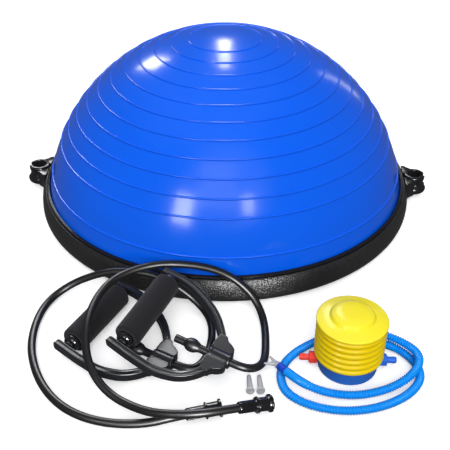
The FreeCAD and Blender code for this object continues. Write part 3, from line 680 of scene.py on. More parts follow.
@dataclass
class Platform:
    """The rigid round platform with its clamp ring, screws, pads and ears."""

    rim: float = 300.0
    rim_top: float = 296.0
    height: float = 37.0
    underside: float = 2.0
    valve_out: float = 60.0
    valve_hole: float = 17.0
    grooves: tuple[float, ...] = (120.0, 190.0, 240.0)
    ear_at: float = 312.0
    pad_ring: float = 262.0
    pad_count: int = 6
    screw_ring: float = 281.0
    screw_count: int = 12

    def build(self) -> None:
        """Makes every piece of the platform."""
        self._dish()
        self._clamp()
        for side, name in ((-1, "left"), (1, "right")):
            self._ear(side, name)
        self._pads()
        self._screws()

    def _dish(self) -> None:
        """The dish: a grained shell with a soft outer rim and a grooved underside."""
        low = self.underside
        under: Outline = [(0.0, low)]
        for r in self.grooves:
            under += [(r - 2.4, low), (r - 1.2, low + 1.2), (r + 1.2, low + 1.2), (r + 2.4, low)]
        rim = [
            (278.0, low), (282.0, low + 1.0), (288.0, low + 1.0), (290.5, low), (294.5, low),
            (298.6, low + 3.0), (self.rim, low + 7.5), (self.rim, low + 13.0), (299.3, 21.0), (298.0, 27.5),
            (296.2, 32.5), (294.2, 35.6), (292.8, self.height), (291.7, self.height), (291.7, 26.5), (270.0, 26.5),
            (270.0, 7.0), (0.0, 7.0),
        ]
        shell = turned(under + rim, 2.6, 4, 240)
        piece = stood(shell, "platform_shell", PLATFORM_GRAIN, "trainer", ["base_platform"])
        opening = spun([(0.0, -3.0), (self.valve_hole + 1.2, -3.0), (self.valve_hole, 3.5),
                        (self.valve_hole, 12.0), (0.0, 12.0)], 64)
        carved(piece, [moved(opening, Matrix.Translation((0, self.valve_out, 0)))])
        piece.data.set_sharp_from_angle(angle=math.radians(CREASE))

    def _clamp(self) -> None:
        """The smooth ring that clamps the dome's foot, with a raised inner lip."""
        ring = softened([
            (286.15, 34.5), (291.2, 34.5), (291.2, 39.4), (289.6, 40.4), (288.6, 39.9), (288.0, 40.5),
            (286.7, 40.5), (286.15, 39.6),
        ], 0.7, 3, closed=True)
        stood(spun(ring, 240, closed=True), "clamp_ring", CLAMP_PLASTIC, "trainer",
              ["dome_clamp_ring"])

    def _ear(self, side: int, name: str) -> None:
        """One anchor ear: a slotted socket with a flared foot, and the two cheeks that join it to the rim.

        Args:
            side: -1 on the left, 1 on the right.
            name: what the side is called.
        """
        x = side * self.ear_at
        boss = turned([
            (0.0, 8.0), (15.0, 8.0), (20.8, 12.5), (20.8, 19.0), (16.2, 25.0), (15.6, 29.0), (16.9, 33.0),
            (16.9, 38.4), (15.2, 40.0), (0.0, 40.0),
        ], 2.6, 4, 72)
        piece = stood(moved(boss, at(x, 0, 0)), f"{name}_ear_socket", EAR_PLASTIC, "trainer",
                      [f"{name}_anchor_ear"])
        inner = side * (self.rim_top - 1.5)
        hole = turned([(0.0, 4.0), (11.5, 4.0), (11.5, 38.8), (13.2, 44.0), (0.0, 44.0)], 1.0, 2, 64)
        slot = slab([(0, -5.5), (0, 5.5), (side * 30, 5.5), (side * 30, -5.5)][::side], 4.0, 44.0, 0.0)
        carved(piece, [moved(hole, at(x, 0, 0)), moved(slot, at(x, 0, 0)), self._dish_space()])
        for way in (-1, 1):
            web = slab(softened([
                (inner, way * 7.0), (inner, way * 31.0), (side * 299.5, way * 30.0), (side * 305.0, way * 24.0),
                (side * 312.5, way * 18.5), (side * 310.0, way * 12.6), (side * 301.5, way * 9.0),
            ], 3.0, 3, closed=True), 9.0, 36.6, 2.2)
            cheek = stood(web, f"{name}_ear_cheek_{'front' if way < 0 else 'back'}", EAR_PLASTIC, "trainer")
            core = spun([(0.0, 4.0), (13.0, 4.0), (13.0, 44.0), (0.0, 44.0)], 64)
            carved(cheek, [moved(core, at(x, 0, 0)), self._dish_space()])
            cheek.data.set_sharp_from_angle(angle=math.radians(CREASE))
        piece.data.set_sharp_from_angle(angle=math.radians(CREASE))

    def _dish_space(self) -> bmesh.types.BMesh:
        """The space that the dish fills, which the ears are cut back to."""
        inner = self.rim_top - 1.5
        return spun([(0.0, -2.0), (self.rim, -2.0), (self.rim, 15.0), (self.rim_top + 0.4, 34.5),
                     (inner, 37.2), (inner, 60.0), (0.0, 60.0)], 240)

    def _pads(self) -> None:
        """The floor pads: low rubber buttons with a ring groove."""
        pads = []
        for x, y in [(0.0, 0.0)] + around(self.pad_ring, self.pad_count, 30):
            pad = turned([(0.0, 0.0), (8.0, 0.0), (8.6, 0.5), (9.4, 0.5), (10.0, 0.0), (13.2, 0.0),
                                 (13.9, 0.8), (13.9, 2.2), (0.0, 2.2)], 0.5, 2, 48)
            pads.append(moved(pad, at(x, y, 0)))
        stood(gathered(*pads), "floor_buttons", PAD_RUBBER, "trainer", ["floor_pads"])

    def _screws(self) -> None:
        """The clamp screws: round heads with a shallow round recess, sunk in the underside."""
        screws = []
        for x, y in around(self.screw_ring, self.screw_count, 15):
            head = turned([(0.0, 2.9), (0.9, 2.9), (1.3, 2.5), (3.6, 2.3), (4.3, 3.1), (4.3, 4.4),
                                  (1.9, 4.6), (1.9, 23.0), (0.0, 23.4)], 0.4, 2, 32)
            screws.append(moved(head, at(x, y, -0.2)))
        stood(gathered(*screws), "ring_screws", SCREW_STEEL, "trainer", ["clamp_screws"])


@dataclass
class Dome:
    """The pumped-up vinyl dome with its raised rings, floor and air valve."""

    radius: float = 291.0
    drop: float = 21.0
    wall: float = 2.2
    foot: float = 31.0
    first_ring: float = 10.93
    ring_step: float = 5.17
    ring_count: int = 11
    foot_ring: float = 73.1
    ring_height: float = 1.55
    ring_half: float = 1.6
    press: float = 60.0
    valve_out: float = 60.0
    ledge: float = 26.5

    def build(self) -> None:
        """Makes the dome, its floor and its valve."""
        self._bladder()
        self._floor()
        self._valve()

    def _skin(self) -> Outline:
        """The outside of the dome from top to foot, with its rings.

        Returns:
            The half section's outer line.
        """
        rings = [self.first_ring + i * self.ring_step for i in range(self.ring_count)] + [self.foot_ring]
        lowest = math.degrees(math.acos((self.foot + self.drop) / self.radius))
        half = math.degrees(self.ring_half / self.radius)
        angles = {lowest * i / 66 for i in range(67)}
        for ring in rings:
            angles = {a for a in angles if abs(a - ring) > 1.9 * half}
            angles |= {ring + half * k / 4 for k in range(-7, 8)}
        line = []
        for a in sorted(angles):
            near = min(abs(a - ring) for ring in rings) / half
            lift = self.ring_height * math.sqrt(max(0.0, 1 - near * near))
            turn = math.radians(a)
            line.append(((self.radius + lift) * math.sin(turn), (self.radius + lift) * math.cos(turn) - self.drop))
        line[0] = (0.0, self.radius - self.drop)
        return line

    def _bladder(self) -> None:
        """The dome's shell, whose foot ends in a round bead."""
        skin = self._skin()
        bead = [(286.0 + 3.0 * math.cos(t), self.foot - 3.0 * math.sin(t))
                for t in (math.pi * k / 10 for k in range(11))]
        lowest = math.acos((self.foot + self.drop) / self.radius)
        inner_radius = self.radius - self.wall
        inner = [(inner_radius * math.sin(lowest * k / 40), inner_radius * math.cos(lowest * k / 40) - self.drop)
                 for k in range(40, -1, -1)]
        piece = stood(spun(skin + bead + inner, 200), "dome_skin", DOME_VINYL, "dome",
                      ["dome_bladder"], crease=60.0)
        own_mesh(piece)

    def _floor(self) -> None:
        """The flat vinyl floor of the bladder, with a welded rim."""
        floor = turned([
            (8.0, 26.55), (282.3, 26.55), (282.3, 28.4), (276.0, 28.5), (275.0, 28.2), (274.0, 28.5),
            (8.0, 28.5),
        ], 0.4, 2, 160, closed=True)
        piece = stood(floor, "bladder_base", FLOOR_VINYL, "trainer", ["bladder_floor"])
        plug = spun([(0.0, 20.0), (8.0, 20.0), (8.0, 34.0), (0.0, 34.0)], 48)
        filled = spun([(0.0, 26.55), (12.0, 26.55), (12.0, 28.5), (0.0, 28.5)], 48)
        stood(filled, "bladder_middle", FLOOR_VINYL, "trainer")
        carved(piece, [moved(plug, at(0, self.valve_out, 0))])

    def _valve(self) -> None:
        """The air valve's seat and its tapered plug."""
        seat = turned([
            (3.7, -18.0), (7.5, -18.0), (7.5, -1.0), (7.5, 2.0), (15.0, 2.0), (15.0, 3.3), (14.0, 3.6),
            (2.8, 3.6), (3.0, 0.0),
        ], 0.5, 2, 64, closed=True)
        stood(moved(seat, at(0, self.valve_out, self.ledge)), "valve_tube", VALVE_VINYL, "trainer",
              ["valve_seat"])
        plug = Plug(5.2, 29.0)
        low = self.ledge - 18.0 - 2.6 - 1.0
        stood(moved(plug.mesh(), at(0, self.valve_out, low)), "valve_stopper", PLUG_MILKY, "air_plug",
              ["valve_plug"])


@dataclass
class Plug:
    """A tapered air plug with a round, rimmed head."""

    head: float
    length: float
    root: float = 3.6
    tip: float = 2.2

    def mesh(self) -> bmesh.types.BMesh:
        """Turns the plug, head down.

        Returns:
            The mesh, standing on the origin.
        """
        length = self.length
        return turned([
            (0.0, 0.7), (2.4, 0.7), (3.0, 0.0), (self.head - 0.9, 0.0), (self.head, 0.7), (self.head, 1.9),
            (self.head - 0.7, 2.5), (self.root + 0.1, 3.1), (self.root - 0.1, 4.6), (3.2, length * 0.42),
            (3.35, length * 0.44), (2.75, length * 0.7), (2.9, length * 0.72), (self.tip, length - 2.0),
            (self.tip - 1.0, length - 0.2), (0.0, length),
        ], 0.45, 3, 48)


# ---- the bands --------------------------------------------------------------------------------

RIGHT_ROUTE: list[Spot] = [
    (53, -438, 20.5), (62.5, -430.5, 16), (68.5, -418, 11.5), (71, -402, 7.8), (71.5, -382, 6),
    (71, -359, 5.6), (69, -338, 6.5), (63.5, -320, 12.5), (54.5, -309.5, 23), (41, -303.5, 36.5),
    (23.5, -298.5, 48.5), (3, -293, 55), (-20, -289.5, 58), (-46, -288.5, 59.5), (-71, -291.5, 60.5),
    (-94, -299.5, 60.5), (-114.5, -311.5, 59.5), (-131, -327, 57.5), (-141.5, -348, 55),
    (-147.5, -374.5, 52.5), (-148.5, -401.5, 49), (-146, -425, 42), (-140.5, -445, 35),
    (-131, -461.5, 28), (-118, -475.5, 20), (-101, -487, 14.5), (-81, -497.5, 14), (-60, -509, 18.5),
    (-38, -516, 24), (-16.5, -518.5, 28), (4, -516, 28.5), (24.2, -508.2, 25.1), (40.9, -500.2, 21),
]
LEFT_ROUTE: list[Spot] = [
    (-15, -427.5, 6), (-4.5, -414, 5.5), (1, -393, 5.5), (3, -367, 5.5), (0, -342, 5.5), (-8.5, -323, 7),
    (-21, -312, 14), (-36.5, -307, 26), (-55, -302, 37.5), (-75.5, -297, 44.5), (-98, -292.5, 46.5),
    (-122, -289, 45), (-145.5, -286.5, 40), (-168, -286, 31.5), (-188.5, -287, 22), (-206.5, -293, 13),
    (-221, -307, 7.5), (-229, -331, 5.5), (-230, -364.5, 5.5), (-224.5, -400.5, 5.5), (-211.5, -434, 5.5),
    (-195, -462, 5.5), (-176, -484, 5.5), (-155, -500, 5.5), (-131.5, -510.5, 5.5), (-106, -516, 5.5),
    (-80, -516.5, 5.5), (-56, -514, 7), (-35.8, -509.5, 10.6), (-18.6, -504.2, 10.8),
]


@dataclass
class Flex:
    """A free tube or hose laid along given points."""

    name: str
    route: Sequence[Sequence[float]]
    radius: float

    def spline(self) -> bpy.types.Object:
        """Lays one smooth open line through the route.

        Returns:
            The curve, in metres, with no thickness yet.
        """
        curve = bpy.data.curves.new(self.name, "CURVE")
        curve.dimensions = "3D"
        curve.resolution_u = 8
        line = curve.splines.new("NURBS")
        line.points.add(len(self.route) - 1)
        for point, spot in zip(line.points, self.route):
            point.co = (*(METRES * Vector(spot)), 1.0)
        line.order_u = 3
        line.use_endpoint_u = True
        piece = bpy.data.objects.new(self.name, curve)
        bpy.context.scene.collection.objects.link(piece)
        return piece

    def line(self, piece: bpy.types.Object) -> list[Vector]:
        """Reads the laid line's points.

        Args:
            piece: the curve, with no thickness.

        Returns:
            The points, in metres.
        """
        bpy.context.view_layer.update()
        mesh = bpy.data.meshes.new_from_object(piece)
        spots = [v.co.copy() for v in mesh.vertices]
        bpy.data.meshes.remove(mesh)
        return spots


def run_length(line: Sequence[Vector]) -> float:
    """The length of a line of points."""
    return sum((b - a).length for a, b in zip(line, line[1:]))


@dataclass
class Band:
    """One resistance band: a D-shaped handle, a rubber tube and a screwed connector."""

    side: str
    place: Spot
    turn: tuple[float, float, float]
    route: Sequence[Spot]
    arm: float = 66.0
    sleeve_at: float = 98.0
    sleeve_long: float = 29.0
    sleeve_off: float = 22.0
    exit_run: float = 12.5

    def build(self) -> None:
        """Makes every piece of the band."""
        self._bow()
        self._sleeve()
        self._grip()
        self._stopper()
        self._tube()
        self._connector()

    @property
    def pose(self) -> Matrix:
        """The handle's place: X towards its sleeve, Y along its grip."""
        return at(*self.place, *self.turn)

    def _name(self, piece: str) -> str:
        """The piece's full name on this band."""
        return f"{self.side}_{piece}"

    def _bow(self) -> None:
        """The bow's strap: a channelled bar with two raised outer ribs and rounded arm ends."""
        arm = self.arm
        corners = [
            (-13, -arm, 0), (20, -arm - 7, 0), (55, -arm - 12, 0), (85, -arm - 4, 0), (105, -50, 0),
            (113, -22, 0), (104, 4, 0), (82, 32, 0), (50, 53, 0), (20, arm - 1.5, 0), (-13, arm, 0),
        ]
        line = rounded_line(corners, 6)
        dense = []
        for a, b in zip(line, line[1:]):
            bits = max(1, round((b - a).length / 4.0))
            dense += [a.lerp(b, k / bits) for k in range(bits)]
        dense.append(line[-1])
        section = softened([
            (-4.6, -4.9), (-3.8, -5.95), (-2.4, -5.95), (-1.7, -4.8), (1.7, -4.8), (2.4, -5.95), (3.8, -5.95),
            (4.7, -4.9), (4.7, -2.9), (2.9, -2.0), (2.9, 2.0), (4.7, 2.9), (4.7, 4.9), (3.8, 5.95),
            (2.4, 5.95), (1.7, 4.8), (-1.7, 4.8), (-2.4, 5.95), (-3.8, 5.95), (-4.6, 4.9),
        ], 0.5, 3, closed=True)
        strap = drawn(self._ended(stations_along(dense)), section)
        pins = []
        for way in (-1, 1):
            collar = turned([(0.0, 0.0), (6.4, 0.0), (6.4, 2.0), (4.0, 2.6), (4.0, 20.0), (0.0, 20.5)],
                                   0.6, 3, 40)
            pins.append(moved(collar, at(0, way * (arm - 3.6), 0, 0, 0, 90 * way)))
        stood(moved(gathered(strap, *pins), self.pose), self._name("bow"), HANDLE_PLASTIC,
              self._name("band"), [self._name("band_handle_bow")])

    @staticmethod
    def _ended(stations: list[Matrix]) -> list[Matrix]:
        """Adds the round noses of the two arms.

        Args:
            stations: the strap's stations from arm to arm.

        Returns:
            The same with a few shrinking stations beyond each end.
        """
        nose = 5.6
        ends = []
        for station, way in ((stations[0], -1.0), (stations[-1], 1.0)):
            grown = []
            for share in (0.3, 0.55, 0.75, 0.9, 0.98):
                size = math.sqrt(1 - share * share)
                push = Matrix.Translation((0, 0, way * nose * share))
                grown.append(station @ push @ Matrix.Diagonal((0.5 + 0.5 * size, size, 1.0, 1.0)))
            ends.append(grown)
        return ends[0][::-1] + stations + ends[1]

    def _sleeve(self) -> None:
        """The sleeve that the tube runs through, with its two webs."""
        start, long = self.sleeve_at, self.sleeve_long
        tube = turned([
            (5.2, 0.0), (8.3, 0.0), (9.0, 0.9), (9.0, 3.2), (8.4, 4.0), (8.4, long - 4.0), (9.0, long - 3.2),
            (9.0, long - 0.9), (8.3, long), (5.2, long), (5.2, long * 0.5),
        ], 0.8, 3, 64, closed=True)
        moved(tube, at(start, -self.sleeve_off, 0, 0, 90, 0))
        wings = [self._wing(way) for way in (-1, 1)]
        stood(moved(gathered(tube, *wings), self.pose), self._name("bow_sleeve"), HANDLE_PLASTIC,
              self._name("band"))

    def _wing(self, way: int) -> bmesh.types.BMesh:
        """One flat wing beside the sleeve, lobed at its outer end and framed by a raised edge.

        Args:
            way: -1 or 1, for the side of the sleeve it grows from.

        Returns:
            The wing in the handle's own axes.
        """
        start, off = self.sleeve_at, self.sleeve_off
        outline = softened([
            (start - 0.5, 6.0), (start + 26.0, 6.0), (start + 27.6, 11.0), (start + 26.6, 15.4),
            (start + 21.5, 19.6), (start + 14.6, 22.6), (start + 11.4, 28.5), (start + 2.0, 29.5),
            (start - 0.5, 19.0),
        ], 2.6, 4, closed=True)
        bm = slab([(v, -off + way * w) for v, w in outline], -6.35, 6.35, 0.0)
        for aim in (-1, 1):
            flat = [f for f in bm.faces if f.normal.z * aim > 0.9]
            bmesh.ops.inset_region(bm, faces=flat, thickness=1.5, use_even_offset=True)
            bmesh.ops.inset_region(bm, faces=flat, thickness=0.35, depth=-0.35, use_even_offset=True)
        edges = [e for e in bm.edges if len(e.link_faces) == 2 and e.calc_face_angle(0.0) > 1.2
                 and abs(abs(e.verts[0].co.z) - 6.35) < 1e-3]
        bevelled(bm, edges, 0.7)
        return bm

    def _grip(self) -> None:
        """The foam grip on its core, whose ends show as glossy hubs."""
        lying = self.pose @ at(0, 0, 0, 0, 0, -90)
        core = turned([
            (4.1, -59.5), (7.4, -59.5), (9.6, -58.2), (10.9, -55.6), (10.9, -53.0), (9.9, -52.0),
            (9.9, 52.0), (10.9, 53.0), (10.9, 55.6), (9.6, 58.2), (7.4, 59.5), (4.1, 59.5),
        ], 1.2, 4, 72, closed=True)
        stood(moved(core, lying), self._name("grip_hub"), HUB_PLASTIC, self._name("grip"),
              [self._name("band_grip_core")])
        foam = turned([
            (9.9, -51.0), (14.6, -51.2), (16.9, -49.4), (17.0, -44.0), (16.8, -15.0), (17.0, 10.0),
            (16.85, 40.0), (16.9, 49.4), (14.6, 51.2), (9.9, 51.0),
        ], 1.6, 4, 96, closed=True)
        piece = stood(moved(foam, lying), self._name("grip_foam"), GRIP_FOAM, self._name("grip"),
                      [self._name("band_foam_grip")])

    def _stopper(self) -> None:
        """The tube's cut tail, swollen by the ball that keeps it in the sleeve."""
        long = self.sleeve_at + self.sleeve_long - 52.0
        knob = turned([
            (0.0, 1.6), (2.6, 1.6), (3.0, 0.0), (4.6, 0.0), (5.1, 0.6), (5.0, 13.5), (5.6, 15.0), (7.6, 17.2),
            (8.6, 20.5), (8.7, 24.0), (8.0, 27.6), (6.2, 31.0), (5.2, 33.5), (5.1, 46.0), (5.0, long),
            (0.0, long),
        ], 1.4, 4, 56)
        stood(moved(knob, self.pose @ at(52.0, -self.sleeve_off, 0, 0, 90, 0)), self._name("tube_stopper"),
              STOPPER_PLASTIC, self._name("band"), [self._name("band_stopper")])

    def _full_route(self) -> list[Sequence[float]]:
        """The tube's route with its straight exit from the sleeve."""
        exits = [tuple(self.pose @ Vector((self.sleeve_at + self.sleeve_long + reach, -self.sleeve_off, 0)))
                 for reach in (0.0, self.exit_run)]
        return [*exits, *self.route]

    def _tube(self) -> None:
        """The rubber tube, from the sleeve's mouth to the connector."""
        flex = Flex(self._name("tube"), self._full_route(), 5.0)
        piece = flex.spline()
        line = flex.line(piece)
        piece.data.bevel_depth = flex.radius * METRES
        piece.data.bevel_resolution = 7
        piece.data.use_fill_caps = True
        piece.data.materials.append(TUBE_RUBBER.material())
        body = self._name("band")
        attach(piece, body)
        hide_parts(self._name("band_tube"))
        self.tube = piece
        self.tube_length = run_length(line)
        LOG.info("%s: %.0f mm of tube", piece.name, self.tube_length / METRES)

    def _connector(self) -> None:
        """The connector: a ribbed sleeve, a notched collar and a flanged barrel."""
        before, start = Vector(self.route[-2]), Vector(self.route[-1])
        place = facing(start, start - before)
        sleeve = turned([
            (0.0, 0.0), (5.9, 0.0), (6.8, 1.0), (7.0, 3.0), (7.0, 21.0), (6.5, 22.6), (9.75, 23.0),
            (9.75, 25.0), (0.0, 25.0),
        ], 0.5, 3, 144)
        reshaped(sleeve, 2.4, 21.6, 6.0, lambda r, a: r - 0.5 * round(0.5 + 0.5 * math.cos(18 * a)))
        reshaped(sleeve, 22.9, 25.1, 9.0, lambda r, a: r - 1.0 * (math.cos(10 * a) > 0.75))
        sleeve_piece = stood(moved(sleeve, place), self._name("connector_front"), CONNECTOR_PLASTIC,
                             self._name("band"), [self._name("band_connector_sleeve")])
        barrel = turned([
            (0.0, 25.0), (7.9, 25.0), (8.2, 26.0), (8.2, 37.5), (8.9, 39.0), (10.5, 39.2), (10.5, 41.6),
            (10.0, 42.0), (6.6, 42.0), (6.0, 40.4), (0.0, 40.2),
        ], 0.5, 3, 144)
        reshaped(barrel, 39.0, 42.1, 9.6, lambda r, a: r - 0.9 * (math.cos(6 * a) > 0.75))
        barrel_piece = stood(moved(barrel, place), self._name("connector_barrel"), CONNECTOR_PLASTIC,
                             self._name("band"), [self._name("band_connector_barrel")])


# ---- pump, hose and plugs ---------------------------------------------------------------------

@dataclass
class FootPump:
    """The round foot pump: a blue tub, six bellows rings, a yellow top and two stubs."""

    x: float = 172.5
    y: float = -403.5
    tub: float = 36.5
    low: float = 20.0
    high: float = 71.0
    folds: int = 6
    outer: float = 42.5
    inner: float = 38.2
    travel: float = 36.0
    stub_height: float = 10.0
    nut_flat: float = 6.9
    nut_corner: float = 7.8

    def build(self) -> None:
        """Makes every piece of the pump."""
        self._tub()
        self._bellows()
        self._top()
        self._stub("red_stub", -1, BARB_RED, "pump_inlet_barb")
        self._stub("blue_stub", 1, BARB_BLUE, "pump_outlet_barb")
        flap = turned([(0.0, 0.0), (3.6, 0.0), (4.0, 0.4), (4.0, 0.8), (0.0, 0.8)], 0.2, 2, 32)
        spot = (self.x - self.tub + 4.4, self.y, self.stub_height)
        stood(moved(flap, facing(spot, (-1, 0, 0))), "inlet_flap_disc", PAD_RUBBER, "inlet_flap",
              ["pump_inlet_flap"])

    def _here(self) -> Matrix:
        """The pump's own place."""
        return at(self.x, self.y, 0)

    def _tub(self) -> None:
        """The blue tub with its foot plate and the seat that the bellows stand on."""
        tub = turned([
            (33.5, 3.0), (self.tub, 3.0), (self.tub, 16.8), (37.4, 18.2), (39.4, 18.4), (39.4, 20.0),
            (33.5, 20.0),
        ], 0.7, 3, 128, closed=True)
        stood(moved(tub, self._here()), "pump_tub", PUMP_BLUE, "pump", ["pump_base"])
        plate = turned([
            (0.0, 0.6), (20.0, 0.6), (21.0, 0.0), (35.2, 0.0), (self.tub, 1.0), (self.tub, 3.0), (0.0, 3.0),
        ], 0.8, 3, 128)
        stood(moved(plate, self._here()), "pump_foot", PUMP_BLUE, "pump", ["pump_base_plate"])

    def _bellows(self) -> None:
        """The bellows: rings with round crests and sharp valleys."""
        pitch = (self.high - self.low) / self.folds
        outside: Outline = []
        inside: Outline = []
        for i in range(self.folds):
            for k in range(12):
                share = k / 12
                swell = math.sin(math.pi * share) ** 0.62
                z = self.low + (i + share) * pitch
                outside.append((self.inner + (self.outer - self.inner) * swell, z))
                inside.append((self.inner - 2.0 + (self.outer - self.inner) * swell * 0.9, z))
        outside.append((self.inner, self.high))
        inside.append((self.inner - 2.0, self.high))
        piece = stood(moved(spun(outside + inside[::-1], 160, closed=True), self._here()), "bellows_skin",
                      BELLOWS_YELLOW, "pump_top", ["pump_bellows"], crease=50.0)
        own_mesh(piece)

    def _top(self) -> None:
        """The yellow top: a sloping disc with a raised round button."""
        base = self.high
        top = turned([
            (0.0, base + 0.3), (41.0, base + 0.3), (43.0, base + 1.6), (43.0, base + 3.6), (41.4, base + 4.6),
            (33.0, base + 6.6), (28.2, base + 7.4), (27.2, base + 7.8), (26.6, base + 9.0),
            (25.0, base + 11.8), (20.0, base + 13.6), (13.0, base + 14.6), (0.0, base + 15.0),
        ], 2.2, 5, 160)
        stood(moved(top, self._here()), "pump_cap", CAP_YELLOW, "pump_top", ["pump_top_cap"],
              crease=60.0)

    def _stub(self, name: str, side: int, finish: Finish, node: str) -> None:
        """One stub: a six-sided nut between collars, then a plain tube.

        Args:
            name: the piece's name.
            side: -1 on the left, 1 on the right.
            finish: its finish.
            node: the CAD node it stands for.
        """
        bore, tube = 2.4, 4.0
        body = turned([
            (bore, -2.5), (tube - 0.1, -2.5), (tube - 0.1, 0.2), (6.2, 0.4), (6.2, 1.5), (7.2, 2.0),
            (7.2, 10.6), (6.2, 11.4), (tube, 11.4), (tube, 18.0), (tube + 0.35, 18.8), (tube + 0.35, 20.2),
            (tube, 21.0), (tube - 0.3, 23.0), (bore, 23.0),
        ], 0.5, 3, 72, closed=True)
        reshaped(body, 1.7, 10.9, 6.0, lambda r, a: min(
            self.nut_corner, self.nut_flat / math.cos(abs((a % (math.pi / 3)) - math.pi / 6))))
        spot = (self.x + side * self.tub, self.y, self.stub_height)
        stood(moved(body, facing(spot, (side, 0, 0))), name, finish, "pump", [node], crease=28.0)


HOSE_ROUTE: list[Spot] = [
    (96, -441, 21.5), (107.5, -452.5, 21.5), (121, -458.6, 17.5), (138.9, -460.4, 10.5),
    (157.7, -459.8, 5.9), (177.5, -460, 5.6), (197.8, -455.5, 5.6), (217.2, -448.7, 7),
    (234.2, -440.9, 11), (247.3, -431.6, 16), (256.5, -417.8, 18.5), (258.7, -401.7, 18.5),
    (250.5, -388, 18.5), (236.5, -376, 18), (219.5, -367, 17.8), (200, -361.5, 17.5),
    (181, -357.5, 14.5), (163, -358, 9), (147, -363.5, 6), (129, -375, 5.6), (111.5, -389, 5.6),
    (97.5, -406.5, 5.6), (90, -424.8, 5.6), (90.2, -441.5, 5.6), (95, -457.2, 5.6),
    (107.1, -469.1, 5.6), (123, -477.4, 5.6), (141.2, -482.5, 5.6), (160.5, -484.5, 5.6),
    (180, -482.8, 5.6), (200, -477.9, 5.6), (219.4, -469.3, 5.6), (237.2, -457.6, 5.6),
    (251.1, -442.7, 5.6), (259.1, -426.1, 5.6), (258.2, -408.4, 5.6), (250, -392.4, 5.6),
    (237.5, -379, 5.6), (221, -370, 5.6), (203, -365.5, 5.6),
]


@dataclass
class Hose:
    """The ribbed hose with a plain cuff on each end and a forked nozzle."""

    crest: float = 5.4
    valley: float = 3.95
    pitch: float = 3.2
    plain: float = 26.0
    cuff: float = 4.8
    cuff_long: float = 13.0
    prong: float = 15.5

    def build(self) -> None:
        """Makes the hose, its cuffs and its nozzle."""
        flex = Flex("hose_line", HOSE_ROUTE, self.crest)
        guide = flex.spline()
        line = [v / METRES for v in flex.line(guide)]
        bpy.data.objects.remove(guide)
        line = self._even(line, self.pitch / 6)
        total = run_length(line)

        def size(gone: float) -> float:
            """The hose's width at a length: plain near its ends, ribbed between.

            Args:
                gone: the length run so far.

            Returns:
                The share of the crest's width.
            """
            wave = 0.5 + 0.5 * math.cos(math.tau * gone / self.pitch)
            edge = min(gone, total - gone)
            share = min(1.0, max(0.0, (edge - self.plain) / 12.0))
            return 1.0 - share * (1.0 - self.valley / self.crest) * (1.0 - wave)

        ring = [(self.crest * math.cos(math.tau * k / 18), self.crest * math.sin(math.tau * k / 18))
                for k in range(18)]
        skin = drawn(stations_along(line, size, turning=True), ring)
        piece = stood(skin, "ribbed_hose", HOSE_BLUE, "hose", ["inflation_hose"], crease=70.0)
        near = Vector(HOSE_ROUTE[0])
        near_way = (near - Vector(HOSE_ROUTE[1])).normalized()
        far = Vector(HOSE_ROUTE[-1])
        far_way = (far - Vector(HOSE_ROUTE[-2])).normalized()
        cuffs = [self._cuff("nozzle_cuff", near, near_way, "hose_nozzle_cuff"),
                 self._cuff("pump_cuff", far, far_way, "hose_pump_cuff")]
        nozzle = self._nozzle(near + near_way * self.cuff_long, near_way)

    @staticmethod
    def _even(line: list[Vector], step: float) -> list[Vector]:
        """Spaces a line's points evenly.

        Args:
            line: the points.
            step: the wanted spacing.

        Returns:
            The evenly spaced points, with the last one kept.
        """
        even = [line[0]]
        left = step
        for a, b in zip(line, line[1:]):
            run = (b - a).length
            gone = left
            while gone <= run:
                even.append(a.lerp(b, gone / run))
                gone += step
            left = gone - run
        if (even[-1] - line[-1]).length < step * 0.5:
            even.pop()
        even.append(line[-1])
        return even

    def _cuff(self, name: str, spot: Vector, way: Vector, node: str) -> bpy.types.Object:
        """A plain cuff with a stepped collar.

        Args:
            name: the piece's name.
            spot: where it starts on the hose.
            way: where it points.
            node: the CAD node it stands for.

        Returns:
            The cuff.
        """
        cuff = turned([
            (0.0, -0.2), (5.3, -0.2), (5.4, 1.4), (4.9, 2.2), (self.cuff, 3.0), (self.cuff, 11.6),
            (4.2, self.cuff_long), (3.25, self.cuff_long), (3.25, 4.0), (0.0, 4.0),
        ], 0.6, 3, 48)
        return stood(moved(cuff, facing(spot, way)), name, CUFF_BLUE, "hose", [node])

    def _nozzle(self, spot: Vector, way: Vector) -> bpy.types.Object:
        """The forked nozzle: a neck, two tapered prongs and the web between them.

        Args:
            spot: the cuff's mouth.
            way: where it points.

        Returns:
            The nozzle.
        """
        yaw = math.degrees(math.atan2(way.y, way.x))
        place = at(*spot, yaw, 90, 0)
        neck = turned([
            (0.0, -8.0), (3.1, -8.0), (3.1, 0.3), (4.6, 0.5), (4.6, 1.6), (3.6, 3.0), (3.2, 5.4), (0.0, 6.4),
        ], 0.5, 3, 40)
        prongs = []
        for lean in (-12.0, 42.0):
            prong = turned([
                (0.0, 0.0), (3.0, 0.0), (2.7, 3.0), (1.0, self.prong - 0.6), (0.5, self.prong), (0.0, self.prong),
            ], 0.5, 3, 32)
            prongs.append(moved(prong, at(0, 0, 3.0, 0, 0, -lean)))
        web = slab([(-2.2, 0.0), (2.4, 0.0), (8.0, 8.6), (2.6, 7.2), (-2.6, 11.0)], -0.8, 0.8, 0.4)
        turn = Matrix(((0, 0, 1, 0), (1, 0, 0, 0), (0, 1, 0, 3.0), (0, 0, 0, 1)))
        prongs.append(moved(web, turn))
        return stood(moved(gathered(neck, *prongs), place), "forked_nozzle", NOZZLE_MILKY, "nozzle",
                     ["hose_nozzle"])


